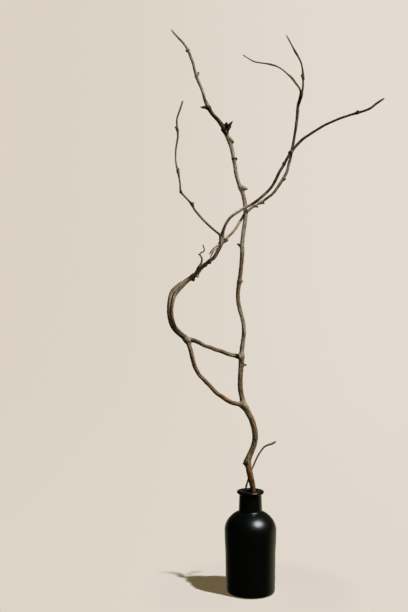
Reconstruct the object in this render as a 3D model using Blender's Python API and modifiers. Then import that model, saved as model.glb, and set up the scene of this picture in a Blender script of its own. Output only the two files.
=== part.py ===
"""A dry branch standing in a small black glass bottle, with a thin second twig beside it.

Metres, +Z up. The origin is the centre of the bottle's flat underside, and -Y is the front.
Each limb is a tube swept along a route. A route's points are (x, y, z, thickness) in millimetres,
from the limb's root to its tip, and a smooth curve is worked out through them. The limbs grew
together, so they are joined in one solid.
"""

import math

import bmesh
import bpy
from mathutils import Vector

MM = 0.001
GAP = 0.3
MERGE_DISTANCE = 0.00001

# Bottle, in millimetres
BODY_WIDEST = 32.2
BODY_WIDEST_HEIGHT = 76.2
BODY_MIDDLE = 31.8
BODY_STRAIGHT = 31.05
BODY_STRAIGHT_HEIGHT = 49.0
BODY_FOOT = 30.5
HEEL_ROUND = 3.0
SHOULDER_RISE = 26.5
INNER_SHOULDER_RISE = 25.0
NECK_FOOT = 14.2
NECK_TOP = 13.3
LIP_OUTER = 16.6
LIP_TOP = 125.5
LIP_THICKNESS = 3.8
LIP_ROUND = 1.7
MOUTH = 8.6
MOUTH_ROUND = 1.2
WALL = 3.0
FLOOR = 4.0
FLOOR_ROUND = 6.0
BOTTLE_SIDES = 40
CORNER_STEPS = 3
DOME_STEPS = 8

FOOT = FLOOR + GAP

# Branch, in millimetres
STEM = [
    (-1, -6, FOOT, 6.0), (-1, -6, 14, 6.2), (1, -4, 50, 6.4), (3, 1, 85, 6.6), (3.5, 2.8, 105, 6.7),
    (3.6, 3.2, 126, 6.8), (0.8, 1.5, 140, 7.3), (-2, 0.6, 153, 7.5), (-3, 1, 162, 7.6),
    (-0.5, 2, 169.5, 7), (2.5, 2, 176.5, 6.8), (5, 2, 183.5, 6.8), (6, 1, 193, 7.1), (4.6, 0, 203, 7),
    (1.8, -1, 213, 6.9), (-1.8, -2, 219.8, 7), (-5.3, -2, 226.8, 7), (-8.5, -2, 234, 6.8), (-11, -1, 243, 6.2),
    (-12.5, 0, 253, 6), (-12.5, 1, 264, 6), (-11.7, 2, 278, 6.1), (-11, 2, 289, 6.3), (-10.5, 2, 300, 5.6),
    (-9.3, 1, 310, 5.2), (-8.1, 0, 322, 5.2), (-8.7, 0, 333, 5.1), (-11, 0, 343, 5), (-13.5, 1, 352, 5),
    (-15.2, 2, 362, 5), (-15.4, 3, 372, 5), (-14.2, 4, 382, 5.4), (-12.7, 4, 392, 5.1),
    (-11.2, 4, 405, 5), (-10.3, 3, 419, 5.1), (-10, 3, 432, 5.2), (-9, 2, 445, 5), (-7, 2, 458, 5.2),
    (-6, 2, 470, 5.2), (-6.7, 3, 483, 5), (-9.2, 4, 495, 4.9), (-13.6, 5, 506.8, 4.8), (-17.4, 6, 519.8, 4.7),
    (-19.2, 7, 532, 4.7), (-21.2, 8, 544, 4.8), (-23.5, 9, 554, 4.9), (-27.2, 10, 564.8, 5.2),
    (-31.2, 11, 575, 5.7), (-35.8, 12, 583.5, 5.1), (-40.8, 12, 590, 4.7), (-46.8, 13, 596.5, 4.7),
    (-51.5, 13, 604, 5.1), (-55.9, 14, 613, 4.3), (-59, 15, 624, 3.8), (-62.7, 16, 634, 3.6),
    (-66.4, 17, 643, 3.9), (-69.4, 18, 653, 3.6), (-71.8, 19, 663, 3.4), (-75, 20, 672, 3.4),
    (-78.2, 21, 680.5, 3.6), (-83.8, 22, 689, 2.9), (-91.7, 23, 697.5, 2.4), (-99.5, 24, 707, 1.6),
]
LEFT_LIMB = [
    (-7, -1, 229, 5), (-14, -4.5, 233, 5.6), (-22.7, -8, 235.5, 5.3), (-29.9, -11, 239.4, 5.4),
    (-36.2, -14, 244.1, 5.2), (-42.4, -17, 248.5, 5), (-47.8, -19, 254.2, 4.9), (-53, -21, 260, 4.9),
    (-58, -23, 265.5, 4.9), (-63.1, -25, 270.8, 4.8), (-66.8, -26, 277, 4.9), (-69.6, -27, 283.5, 5),
    (-71.5, -28, 291, 5), (-73.2, -29, 298, 5.1), (-75, -30, 305, 5.2), (-77.5, -30, 311.5, 5.6),
    (-81.8, -31, 317.2, 6.4), (-87.7, -31, 322.3, 5.6), (-93.6, -32, 328.6, 5), (-97.2, -32, 337, 5),
    (-99, -33, 345.5, 5), (-98.6, -33, 354.5, 5), (-97, -33, 363.5, 5), (-93.9, -32, 371, 5),
    (-88.2, -31, 377.3, 5), (-81.6, -30, 382.7, 5.2), (-74.2, -28, 388.4, 6.2), (-67.3, -26, 394, 6.2),
    (-62.5, -24, 400, 5.8), (-57, -22, 405, 5), (-51, -20, 410, 4.8), (-45.4, -18, 414.5, 4.7),
    (-41.3, -16, 422, 4.8), (-37.9, -15, 428.3, 4.8), (-36.3, -14, 435.4, 4.8), (-35.8, -13, 442, 4.6),
]
CROSS_BAR = [
    (-79, -30, 314.5, 5), (-70.5, -29, 313.5, 5), (-63.5, -27, 310.5, 4.9), (-57, -25, 307, 4.8),
    (-49.8, -22, 304.4, 4.7), (-43, -19, 301.5, 4.8), (-35.3, -15, 299.1, 4.9), (-28.3, -11, 296, 4.9),
    (-20.9, -7, 294, 5), (-15, -2, 292.5, 6), (-11, 2, 292, 5),
]
FRONT_SHOOT = [
    (-36.5, -13, 438, 4), (-34.5, -15, 445.9, 3.8), (-32.3, -16, 452.2, 3.4), (-29.4, -16, 458.1, 3.3),
    (-25.7, -15, 463.2, 3.3), (-20.8, -13, 467.6, 3.3), (-14.8, -10, 471.7, 3.3), (-9.9, -6.6, 475.3, 3.3),
    (-5.3, -4, 477.9, 3.3), (0.6, -2.8, 480.9, 3.3), (7.4, -2.6, 485.4, 3.3), (13.6, -2.6, 490.3, 3.3),
    (20.1, -2.6, 496.1, 3.3), (25.6, -2.6, 502.1, 3.3), (31.1, -2, 511.2, 3.4), (36, -1, 521.5, 3.4),
    (41.4, 0, 530.3, 3.3), (46.2, 0, 539.5, 3.3), (51.5, 0, 547.8, 3.6), (58.2, 2, 555.9, 3.5),
    (65.4, 4, 563.2, 3.4), (73.7, 6, 569.2, 3.1), (83.3, 8, 575.7, 3), (93.4, 10, 582, 2.9),
    (104.1, 12, 587.2, 2.9), (115.1, 15, 592.2, 2.8), (126, 18, 596.5, 2.8), (137, 20, 600, 3.2),
    (146, 22, 603, 2.7), (154, 24, 606.7, 2.8), (161.4, 27, 612.7, 2.6), (167.3, 29, 617, 2.5),
    (173.2, 31, 621, 1.6),
]
BACK_SHOOT = [
    (-38, -14, 431, 4), (-32.7, -12, 436, 3.6), (-27.8, -9, 440.8, 3.2), (-22, -5.6, 446.7, 3.1),
    (-17.1, -2, 453.3, 3.1), (-13.1, 2, 460, 3.1), (-8.8, 6.6, 466.8, 3.1), (-3.3, 8.6, 473.4, 3.2),
    (2.8, 8.8, 479, 3.3), (9.5, 9, 483.2, 3.4), (16.7, 9, 487.3, 3.4), (23, 8, 491.5, 3.3),
    (29, 7, 496.5, 3.3), (33.9, 7, 503, 3.4), (38.3, 6, 509.5, 3.5), (42.4, 6, 516.3, 3.5), (46.2, 6, 523.6, 3.4),
    (48.2, 6, 532.1, 3.4), (50.5, 6, 540.3, 3.4), (52, 6, 549.6, 3.4), (54, 5, 559.3, 3.3),
    (55.5, 4, 568.6, 3.2), (56.8, 2, 577.6, 3.4), (57.7, 0, 586.5, 3.6), (58.4, -2, 595.6, 4),
    (58.9, -4, 603.6, 3.6), (61, -6, 610.5, 4), (62.6, -8, 617, 3.2),
]
FORK_TIP_RIGHT = [
    (62.2, -8, 614.5, 2.8), (64.1, -10, 623.8, 2.4), (64.2, -12, 631.9, 2.2), (63.9, -14, 638.4, 2.8),
    (62.8, -17, 645.3, 2), (60.9, -20, 651.7, 1.9), (57.4, -23, 657.8, 2.1), (53.1, -26, 663.6, 2.8),
    (49.2, -28, 670, 1.8), (45.5, -30, 676, 1.6), (41.5, -32, 682, 1.2),
]
FORK_TIP_LEFT = [
    (62.4, -8, 616, 2.8), (60.5, -6, 624.4, 2.4), (56.2, -4, 631.1, 2.6), (51.8, -1, 638.2, 2.9),
    (46.4, 2, 644.3, 2), (40.9, 5, 650.3, 1.9), (34.9, 9, 655.3, 1.9), (27.9, 13, 659, 2.6),
    (20.5, 17, 661.6, 1.8), (13.2, 21, 663.8, 1.7), (5.8, 25, 666.6, 1.6), (-1, 29, 671.6, 1.4),
    (-7.8, 33, 677.4, 1.2),
]
LEFT_SHOOT = [
    (-36.5, -13, 441, 3.4), (-40, -16, 444, 2.9), (-43.4, -18, 446.5, 2.7), (-49, -20, 451, 2.7),
    (-54.6, -22, 456, 2.7), (-59.8, -24, 461, 2.6), (-64.6, -26, 466.3, 2.6), (-69.2, -28, 471.8, 2.5),
    (-72.6, -30, 478, 3), (-77.2, -32, 483.3, 2.4), (-82, -33, 488.2, 2.4), (-85.6, -34, 492.5, 2.6),
    (-86.5, -36, 501, 2), (-87.4, -37, 508, 2.1), (-88.7, -38, 515.4, 2.8), (-90.5, -39, 522.2, 2.2),
    (-91.6, -40, 529.3, 1.9), (-91.7, -41, 536.3, 1.9), (-91.2, -42, 543.5, 2), (-90, -43, 550.5, 2.1),
    (-88.9, -44, 557.3, 2.1), (-89.2, -45, 564.2, 2.6), (-90, -46, 571, 2.1), (-89.8, -47, 578, 1.9),
    (-87.6, -48, 584.8, 2), (-85.2, -49, 591.2, 2), (-83, -50, 598.2, 1.5),
]
CURLED_TWIGLET = [
    (-65, -24, 398, 4), (-63.5, -24.5, 402.5, 2.8), (-60.8, -26, 407, 2), (-59.7, -27, 411.5, 1.5),
    (-60.6, -28, 415.2, 1.4), (-62.6, -28.5, 417.3, 1.6), (-61.2, -28.5, 419.8, 1.4),
    (-58.6, -29, 420.6, 1.5), (-57.3, -29.5, 423.8, 1.3), (-58.4, -30, 426.6, 1.4), (-58.6, -31, 429.5, 1),
]
FRAYED_STRIPS = [
    [(-39, -16.5, 430.5, 2), (-43.2, -19, 427, 1.8), (-47.2, -21.5, 423.4, 1.5), (-50.8, -23, 418.8, 1.2)],
    [(-40, -16.5, 427, 2), (-43.6, -20.5, 422.6, 1.5), (-46.6, -23.5, 418.4, 1.2), (-49.6, -25, 413.4, 1)],
]
SIDE_TWIG = [
    (-7, -2, FOOT, 2.2), (-7, -2, 16, 2.2), (-6.6, -0.6, 60, 2.2), (-6.3, 1.5, 98, 2.2),
    (-6.1, 2.9, 113, 2.2), (-5.7, 4.2, 126, 2.2), (-2.6, 6.4, 137, 2.2), (0, 7.5, 144, 2.2),
    (2.6, 8, 151, 2.2), (5.6, 8.5, 157.8, 2.2), (8.5, 9, 164.1, 2.2), (12.6, 10, 171.1, 2.2),
    (17.5, 11, 177.2, 2.3), (22.2, 11.5, 179.9, 2.3), (27.2, 12, 181.4, 2.7), (33.2, 13, 184.4, 1.5),
]

# Each stub: where it starts inside its limb, where it ends, and its thickness at both
STUBS = [
    ((-4, 1, 160), (-8.3, 0, 158.9), 3.2, 2.2),
    ((-5, 1, 162), (-7.9, 0, 164.4), 2.4, 0.9),
    ((-12, 2, 280.5), (-4.9, 1.5, 281.8), 0.9, 1.9),
    ((-13.5, 4, 385), (-9.8, 3, 386.5), 2.8, 2),
    ((-11.5, 3, 430), (-16.6, 2, 432.6), 2.8, 1.2),
    ((-7.6, 1, 466.5), (-9.6, -0.5, 469), 2.6, 1.4),
    ((-11, 4, 501.5), (-3.4, 3, 502), 4.8, 1.2),
    ((-20.5, 8, 539.5), (-16.6, 7, 539.6), 3.2, 2.4),
    ((-26, 9.5, 565.5), (-20.3, 8, 559.6), 3.6, 1.4),
    ((-52, 13, 605), (-62.3, 12, 605.2), 3.4, 1.2),
    ((-67.5, 17, 645), (-64, 16.5, 650.5), 2.8, 2.2),
    ((-77.5, 21, 680.5), (-80.8, 20, 677.6), 2.4, 1.6),
    ((-71, -27, 391), (-71.2, -29, 386), 4.8, 3.8),
    ((-66, -25, 395), (-65.2, -28, 391), 3.4, 3),
    ((-56.5, -21.5, 405.5), (-55, -23, 403.6), 2.6, 2.2),
    ((-51.5, -20, 409.5), (-49.6, -21, 406.8), 3, 2.4),
    ((-34, -13, 434.5), (-28.6, -12, 436.4), 3.6, 3),
    ((41.8, 0, 531.5), (40.4, -0.5, 533.4), 2.8, 2),
    ((51, 0, 546.5), (47.3, -1, 546.2), 3.6, 2.6),
    ((136.6, 20, 599.8), (137, 19.5, 602.4), 2.8, 2),
    ((6, 9, 481.5), (10.4, 8.5, 478.8), 2.8, 1.4),
    ((12, 9, 484.8), (18.4, 8, 483.6), 2.8, 1.6),
    ((42, 6, 514.5), (44.4, 5.5, 512.6), 2.6, 1.6),
    ((64.6, -12.5, 634.5), (61.6, -14, 638.6), 2.2, 1.6),
    ((-71.6, -30, 477), (-70.8, -31, 480.6), 2.6, 1.8),
    ((-89.4, -38, 516), (-88, -38.5, 519.6), 2.4, 1.8),
    ((-89.2, -45, 564), (-92.6, -46, 568.6), 2.2, 1.3),
    ((-62.6, -28.5, 417.3), (-64.8, -29, 417.2), 1.5, 1.2),
]

# The cluster of dark buds, in the same form
BUDS = [
    ((-31, 9, 576), (-29.3, 7.5, 586.4), 4.6, 0.8),
    ((-30.5, 9, 576), (-21.6, 7, 586.8), 3.8, 0.5),
    ((-31, 8.5, 576.5), (-23.4, 7, 580.4), 4.6, 0.8),
    ((-31, 8.5, 575), (-25, 6, 577.4), 4.4, 0.8),
    ((-31, 8.5, 572.5), (-26.8, 6, 575.2), 4, 1),
    ((-32, 9.5, 576.5), (-33, 7.5, 583.6), 3.2, 0.8),
    ((-31, 9.5, 574), (-36.4, 9.5, 577.2), 3.6, 1),
    ((-31, 10, 577), (-27.4, 2.8, 582), 4.4, 0.7),
    ((-31, 9, 574), (-30.4, 3.6, 571.6), 4, 0.9),
    ((-31, 11, 577), (-26, 15.6, 582.6), 4, 0.7),
    ((-31, 11, 574), (-29.2, 16, 574.4), 3.6, 0.9),
]

# How stubs and buds narrow: the place along them, from 0 at the root to 1 at the tip, and the
# thickness there, from 1 for the first one of the list above to 0 for the second
STUB_SHAPE = [(0.0, 1.0), (0.55, 0.8), (0.9, 0.4), (1.0, 0.0)]
BUD_SHAPE = [(0.0, 0.8), (0.45, 1.0), (0.75, 0.7), (1.0, 0.0)]

STRAND_COUNT = 3
STRAND_OFFSET = 1.8
STRAND_THICKNESS = 5.1
STRAND_END_SHARE = 0.72
STRAND_START = math.radians(27)
STRAND_TURN = math.radians(1)
STRAND_FROM, STRAND_TO = 16, 26
LIMB_VIEW = Vector((0, 1, 0))

THICK_STEP, THICK_SIDES = 8.0, 4
THIN_STEP, THIN_SIDES = 6.5, 2
STUB_SIDES = 1
SHARP_ANGLE = math.radians(50)

BARK = (0.23, 0.17, 0.11, 1.0)
TWIG_BARK = (0.12, 0.07, 0.04, 1.0)
BLACK_GLASS = (0.006, 0.008, 0.007, 1.0)


def clear_scene():
    """Remove every object and collection of the open scene."""
    for thing in list(bpy.data.objects):
        bpy.data.objects.remove(thing, do_unlink=True)
    for group in list(bpy.data.collections):
        bpy.data.collections.remove(group)


def new_collection(name):
    """A collection linked to the scene."""
    group = bpy.data.collections.new(name)
    bpy.context.scene.collection.children.link(group)
    return group


def paint(thing, colour, roughness, metallic=0.0):
    """Give an object its own Principled material."""
    material = bpy.data.materials.new(thing.name)
    material.use_nodes = True
    material.diffuse_color = colour
    shader = material.node_tree.nodes["Principled BSDF"]
    shader.inputs["Base Color"].default_value = colour
    shader.inputs["Roughness"].default_value = roughness
    shader.inputs["Metallic"].default_value = metallic
    thing.data.materials.clear()
    thing.data.materials.append(material)


def smooth_route(route, step):
    """Points about one step apart on a cubic curve through the route's own points.

    Each stretch is a Hermite curve. The slope at a point is the line between its two neighbours,
    so the curve has no corner, and the thickness is carried along as a fourth coordinate.
    """
    knots = [Vector(point) for point in route]
    last = len(knots) - 1
    smooth = []
    for index in range(last):
        start, end = knots[index], knots[index + 1]
        before, after = knots[max(index - 1, 0)], knots[min(index + 2, last)]
        span = (end.xyz - start.xyz).length
        slope_in = (end - before) * (span / (end.xyz - before.xyz).length)
        slope_out = (after - start) * (span / (after.xyz - start.xyz).length)
        count = max(1, round(span / step))
        for part in range(count):
            t = part / count
            smooth.append(
                start * (2 * t**3 - 3 * t**2 + 1)
                + slope_in * (t**3 - 2 * t**2 + t)
                + end * (3 * t**2 - 2 * t**3)
                + slope_out * (t**3 - t**2)
            )
    smooth.append(knots[last])
    return smooth


def tube(name, points, sides, group):
    """A closed tube through points of (x, y, z, thickness), made a mesh with welded caps."""
    curve = bpy.data.curves.new(name, "CURVE")
    curve.dimensions = "3D"
    curve.bevel_depth = MM
    curve.bevel_resolution = sides
    curve.use_fill_caps = True
    spline = curve.splines.new("POLY")
    spline.points.add(len(points) - 1)
    for knot, point in zip(spline.points, points):
        knot.co = (*(point.xyz * MM), 1.0)
        knot.radius = point.w / 2
    swept = bpy.data.objects.new(name + "_route", curve)
    group.objects.link(swept)
    bpy.context.view_layer.update()

    mesh = bpy.data.meshes.new_from_object(swept.evaluated_get(bpy.context.evaluated_depsgraph_get()))
    weld(mesh)
    solid = bpy.data.objects.new(name, mesh)
    solid.matrix_world = swept.matrix_world
    bpy.data.objects.remove(swept, do_unlink=True)
    group.objects.link(solid)
    return solid


def weld(mesh):
    """Merge the points that lie on each other, and turn every face outwards."""
    shell = bmesh.new()
    shell.from_mesh(mesh)
    bmesh.ops.remove_doubles(shell, verts=shell.verts, dist=MERGE_DISTANCE)
    bmesh.ops.recalc_face_normals(shell, faces=shell.faces)
    shell.to_mesh(mesh)
    shell.free()


def thick_limb(name, route, group):
    """A limb of old wood, with twelve sides."""
    return tube(name, smooth_route(route, THICK_STEP), THICK_SIDES, group)


def thin_limb(name, route, group):
    """A young shoot, with eight sides."""
    return tube(name, smooth_route(route, THIN_STEP), THIN_SIDES, group)


def add_strands(group):
    """The fused strands of the limb's thick bend: tubes that wind slowly round its middle line."""
    route = [Vector(point) for point in LEFT_LIMB[STRAND_FROM - 1:STRAND_TO + 2]]
    for strand in range(STRAND_COUNT):
        points = []
        for index in range(1, len(route) - 1):
            along = (route[index + 1].xyz - route[index - 1].xyz).normalized()
            across = along.cross(LIMB_VIEW).normalized()
            turn = STRAND_START + 2 * math.pi * strand / STRAND_COUNT + STRAND_TURN * index
            away = across * math.cos(turn) + along.cross(across) * math.sin(turn)
            swell = math.sqrt(math.sin(math.pi * index / (len(route) - 1)))
            place = route[index].xyz + away * STRAND_OFFSET * swell
            thickness = STRAND_THICKNESS * (STRAND_END_SHARE + (1 - STRAND_END_SHARE) * swell)
            points.append((*place, thickness))
        thin_limb(f"strand_{strand}", points, group)


def add_tapers(name, tapers, shape, group):
    """Short tapered tubes rooted in the wood: stubs, knots and buds, each with its own thicknesses."""
    for index, (start, end, thick, thin) in enumerate(tapers):
        root, tip = Vector(start), Vector(end)
        points = [Vector((*root.lerp(tip, place), thin + (thick - thin) * share)) for place, share in shape]
        tube(f"{name}_{index}", points, STUB_SIDES, group)


def build_branch(parts, shoots):
    """Join the stem and everything that grew on it in one solid."""
    branch = thick_limb("branch", STEM, parts)
    thick_limb("left_limb", LEFT_LIMB, shoots)
    thick_limb("cross_bar", CROSS_BAR, shoots)
    thin_limb("front_shoot", FRONT_SHOOT, shoots)
    thin_limb("back_shoot", BACK_SHOOT, shoots)
    thin_limb("fork_tip_right", FORK_TIP_RIGHT, shoots)
    thin_limb("fork_tip_left", FORK_TIP_LEFT, shoots)
    thin_limb("left_shoot", LEFT_SHOOT, shoots)
    tube("curled_twiglet", [Vector(point) for point in CURLED_TWIGLET], THIN_SIDES, shoots)
    for index, strip in enumerate(FRAYED_STRIPS):
        tube(f"frayed_strip_{index}", [Vector(point) for point in strip], STUB_SIDES, shoots)
    add_strands(shoots)
    add_tapers("stub", STUBS, STUB_SHAPE, shoots)
    add_tapers("bud", BUDS, BUD_SHAPE, shoots)

    join = branch.modifiers.new("grown together", "BOOLEAN")
    join.operation = "UNION"
    join.operand_type = "COLLECTION"
    join.collection = shoots
    bpy.context.view_layer.update()
    grown = bpy.data.meshes.new_from_object(branch.evaluated_get(bpy.context.evaluated_depsgraph_get()))
    branch.modifiers.clear()
    branch.data = grown
    for shoot in list(shoots.objects):
        bpy.data.objects.remove(shoot, do_unlink=True)
    bpy.data.collections.remove(shoots)
    finish_shading(branch)
    paint(branch, BARK, 0.85)
    return branch


def build_side_twig(parts):
    """The loose twig that stands beside the branch and passes behind it."""
    twig = thin_limb("side_twig", SIDE_TWIG, parts)
    finish_shading(twig)
    paint(twig, TWIG_BARK, 0.8)
    return twig


def arc(centre, radii, start, end, steps):
    """Points on an elliptical arc, angles in degrees from +X towards +Z."""
    points = []
    for index in range(steps + 1):
        angle = math.radians(start + (end - start) * index / steps)
        points.append((centre[0] + radii[0] * math.cos(angle), centre[1] + radii[1] * math.sin(angle)))
    return points


def corner(centre, radius, start, end):
    """Points on a rounded corner of the bottle's section."""
    return arc(centre, (radius, radius), start, end, CORNER_STEPS)


def bottle_profile():
    """Half the bottle's section: up the inside, over the lip and down the outside, to the axis."""
    inner = BODY_STRAIGHT - WALL
    inner_dome = (BODY_WIDEST - WALL, INNER_SHOULDER_RISE)
    inner_dome_end = math.degrees(math.acos(MOUTH / inner_dome[0]))
    outer_dome = (BODY_WIDEST, SHOULDER_RISE)
    outer_dome_end = math.degrees(math.acos(NECK_FOOT / BODY_WIDEST))
    lip_middle = LIP_OUTER - LIP_ROUND
    lip_under = LIP_TOP - LIP_THICKNESS

    profile = [(0, FLOOR)]
    profile += corner((inner - FLOOR_ROUND, FLOOR + FLOOR_ROUND), FLOOR_ROUND, -90, 0)
    profile += [(inner, BODY_STRAIGHT_HEIGHT)]
    profile += arc((0, BODY_WIDEST_HEIGHT), inner_dome, 0, inner_dome_end, DOME_STEPS)
    profile += corner((MOUTH + MOUTH_ROUND, LIP_TOP - MOUTH_ROUND), MOUTH_ROUND, 180, 90)
    profile += corner((lip_middle, LIP_TOP - LIP_ROUND), LIP_ROUND, 90, 0)
    profile += corner((lip_middle, lip_under + LIP_ROUND), LIP_ROUND, 0, -90)
    profile += [(NECK_TOP, lip_under)]
    profile += arc((0, BODY_WIDEST_HEIGHT), outer_dome, outer_dome_end, 0, DOME_STEPS)
    profile += [(BODY_MIDDLE, (BODY_WIDEST_HEIGHT + BODY_STRAIGHT_HEIGHT) / 2)]
    profile += [(BODY_STRAIGHT, BODY_STRAIGHT_HEIGHT)]
    profile += corner((BODY_FOOT - HEEL_ROUND, HEEL_ROUND), HEEL_ROUND, 0, -90)
    profile += [(0, 0)]
    return profile


def build_bottle(parts):
    """Turn the bottle's section round the upright axis."""
    points = [(x * MM, 0, z * MM) for x, z in bottle_profile()]
    edges = [(index, index + 1) for index in range(len(points) - 1)]
    mesh = bpy.data.meshes.new("bottle")
    mesh.from_pydata(points, edges, [])
    bottle = bpy.data.objects.new("bottle", mesh)
    parts.objects.link(bottle)
    screw = bottle.modifiers.new("turned", "SCREW")
    screw.axis = "Z"
    screw.angle = 2 * math.pi
    screw.steps = BOTTLE_SIDES
    screw.render_steps = BOTTLE_SIDES
    screw.use_merge_vertices = True
    screw.merge_threshold = MERGE_DISTANCE
    screw.use_smooth_shade = True
    paint(bottle, BLACK_GLASS, 0.22)
    return bottle


def finish_shading(thing):
    """Shade a round piece smooth, with its broken ends left sharp."""
    thing.data.shade_smooth()
    thing.data.set_sharp_from_angle(angle=SHARP_ANGLE)


def build():
    """Model the three pieces and hang them on one empty."""
    clear_scene()
    parts = new_collection("dry_branch")
    shoots = new_collection("shoots")
    stand = bpy.data.objects.new("dry_branch", None)
    parts.objects.link(stand)
    for piece in (build_bottle(parts), build_branch(parts, shoots), build_side_twig(parts)):
        piece.parent = stand


build()
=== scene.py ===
"""Looks of a dry branch in its small black glass bottle, with a thin second twig beside it.

The file is laid out as an add-on and is run as a script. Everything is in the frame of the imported
part: metres, +Z up, -Y towards the camera, the origin under the bottle. Each limb is a tube carried
along a route, worked out with numpy, and the bark's colours and grain are attributes of its mesh.
"""

import math
from collections import namedtuple

import bpy
import numpy as np
from bpy.props import FloatProperty, FloatVectorProperty, IntProperty, PointerProperty
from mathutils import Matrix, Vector


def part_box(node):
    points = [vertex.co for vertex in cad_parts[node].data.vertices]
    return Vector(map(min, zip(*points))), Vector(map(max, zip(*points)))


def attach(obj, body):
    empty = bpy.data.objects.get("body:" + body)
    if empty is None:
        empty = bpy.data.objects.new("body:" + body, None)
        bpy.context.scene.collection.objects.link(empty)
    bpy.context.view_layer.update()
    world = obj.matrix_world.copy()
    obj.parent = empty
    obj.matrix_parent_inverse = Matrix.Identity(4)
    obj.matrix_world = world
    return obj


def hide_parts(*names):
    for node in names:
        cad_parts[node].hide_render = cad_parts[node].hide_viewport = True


bl_info = {
    "name": "Dry Branch in a Bottle",
    "version": (1, 0, 0),
    "blender": (4, 5, 0),
    "location": "3D View > Sidebar > Dry Branch",
    "description": "Grows a crooked dry branch and turns the glass bottle that it stands in",
    "category": "Object",
}

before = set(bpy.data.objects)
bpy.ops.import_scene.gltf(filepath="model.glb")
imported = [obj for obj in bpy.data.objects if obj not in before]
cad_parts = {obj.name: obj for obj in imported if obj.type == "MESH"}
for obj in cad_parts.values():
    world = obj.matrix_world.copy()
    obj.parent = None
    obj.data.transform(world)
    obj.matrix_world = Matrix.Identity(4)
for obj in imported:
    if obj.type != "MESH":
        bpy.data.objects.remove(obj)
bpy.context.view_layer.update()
BOTTLE_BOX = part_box("bottle")

# One millimetre in the frame's metres, then the bottle's floor and how far above it the wood starts
MM = 0.001
FLOOR, GAP = 4.0, 0.3
FOOT = FLOOR + GAP
TAU = 2 * math.pi

# The limbs' routes: points of (x, y, z, thickness) in millimetres, from root to tip
STEM = [
    (-1, -6, FOOT, 6), (-1, -6, 14, 6.2), (1, -4, 50, 6.4), (3, 1, 85, 6.6), (3.5, 2.8, 105, 6.7),
    (3.6, 3.2, 126, 6.8), (0.8, 1.5, 140, 7.3), (-2, 0.6, 153, 7.5), (-3, 1, 162, 7.6),
    (-0.5, 2, 169.5, 7), (2.5, 2, 176.5, 6.8), (5, 2, 183.5, 6.8), (6, 1, 193, 7.1), (4.6, 0, 203, 7),
    (1.8, -1, 213, 6.9), (-1.8, -2, 219.8, 7), (-5.3, -2, 226.8, 7), (-8.5, -2, 234, 6.8),
    (-11, -1, 243, 6.2), (-12.5, 0, 253, 6), (-12.5, 1, 264, 6), (-11.7, 2, 278, 6.1), (-11, 2, 289, 6.3),
    (-10.5, 2, 300, 5.6), (-9.3, 1, 310, 5.2), (-8.1, 0, 322, 5.2), (-8.7, 0, 333, 5.1), (-11, 0, 343, 5),
    (-13.5, 1, 352, 5), (-15.2, 2, 362, 5), (-15.4, 3, 372, 5), (-14.2, 4, 382, 5.4),
    (-12.7, 4, 392, 5.1), (-11.2, 4, 405, 5), (-10.3, 3, 419, 5.1), (-10, 3, 432, 5.2), (-9, 2, 445, 5),
    (-7, 2, 458, 5.2), (-6, 2, 470, 5.2), (-6.7, 3, 483, 5), (-9.2, 4, 495, 4.9), (-13.6, 5, 506.8, 4.8),
    (-17.4, 6, 519.8, 4.7), (-19.2, 7, 532, 4.7), (-21.2, 8, 544, 4.8), (-23.5, 9, 554, 4.9),
    (-27.2, 10, 564.8, 5.2), (-31.2, 11, 575, 5.7), (-35.8, 12, 583.5, 5.1), (-40.8, 12, 590, 4.7),
    (-46.8, 13, 596.5, 4.7), (-51.5, 13, 604, 5.1), (-55.9, 14, 613, 4.3), (-59, 15, 624, 3.8),
    (-62.7, 16, 634, 3.6), (-66.4, 17, 643, 3.9), (-69.4, 18, 653, 3.6), (-71.8, 19, 663, 3.4),
    (-75, 20, 672, 3.4), (-78.2, 21, 680.5, 3.6), (-83.8, 22, 689, 3.1), (-91.7, 23, 697.5, 2.7),
    (-99.4, 24, 706.7, 2),
]
LEFT_LIMB = [
    (-7, -1, 229, 5), (-14, -4.5, 233, 5.6), (-22.7, -8, 235.5, 5.3), (-29.9, -11, 239.4, 5.4),
    (-36.2, -14, 244.1, 5.2), (-42.4, -17, 248.5, 5), (-47.8, -19, 254.2, 4.9), (-53, -21, 260, 4.9),
    (-58, -23, 265.5, 4.9), (-63.1, -25, 270.8, 4.8), (-66.8, -26, 277, 4.9), (-69.6, -27, 283.5, 5),
    (-71.5, -28, 291, 5), (-73.2, -29, 298, 5.1), (-75, -30, 305, 5.2), (-77.5, -30, 311.5, 5.6),
    (-81.8, -31, 317.2, 6.4), (-88, -31, 322.3, 5.6), (-93.8, -32, 328.6, 5), (-97.2, -32, 337, 5),
    (-98.7, -33, 345.5, 5), (-98.6, -33, 354.5, 5), (-97.3, -33, 363.5, 5), (-94.5, -32, 371, 5),
    (-88.8, -31, 377.5, 5), (-81.9, -30, 383.1, 5.6), (-74.6, -28, 388.9, 5), (-67.3, -26, 394.4, 4.6),
    (-62.5, -24, 400, 4.6), (-57, -22, 405, 4.2), (-51, -20, 410, 4.1), (-45.4, -18, 414.5, 4.1),
    (-41, -16, 422, 4.2), (-37.9, -15, 428.3, 4.5), (-36.3, -14, 435.4, 4.8), (-35.8, -13, 442, 4.6),
]
CROSS_BAR = [
    (-79, -30, 314.5, 5), (-70.5, -29, 313.5, 5), (-63.5, -27, 310.5, 4.9), (-57, -25, 307, 4.8),
    (-49.8, -22, 304.4, 4.7), (-43, -19, 301.5, 4.8), (-35.3, -15, 299.1, 4.9), (-28.3, -11, 296, 4.9),
    (-20.9, -7, 294, 5), (-15, -2, 292.5, 6), (-11, 2, 292, 5),
]
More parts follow.
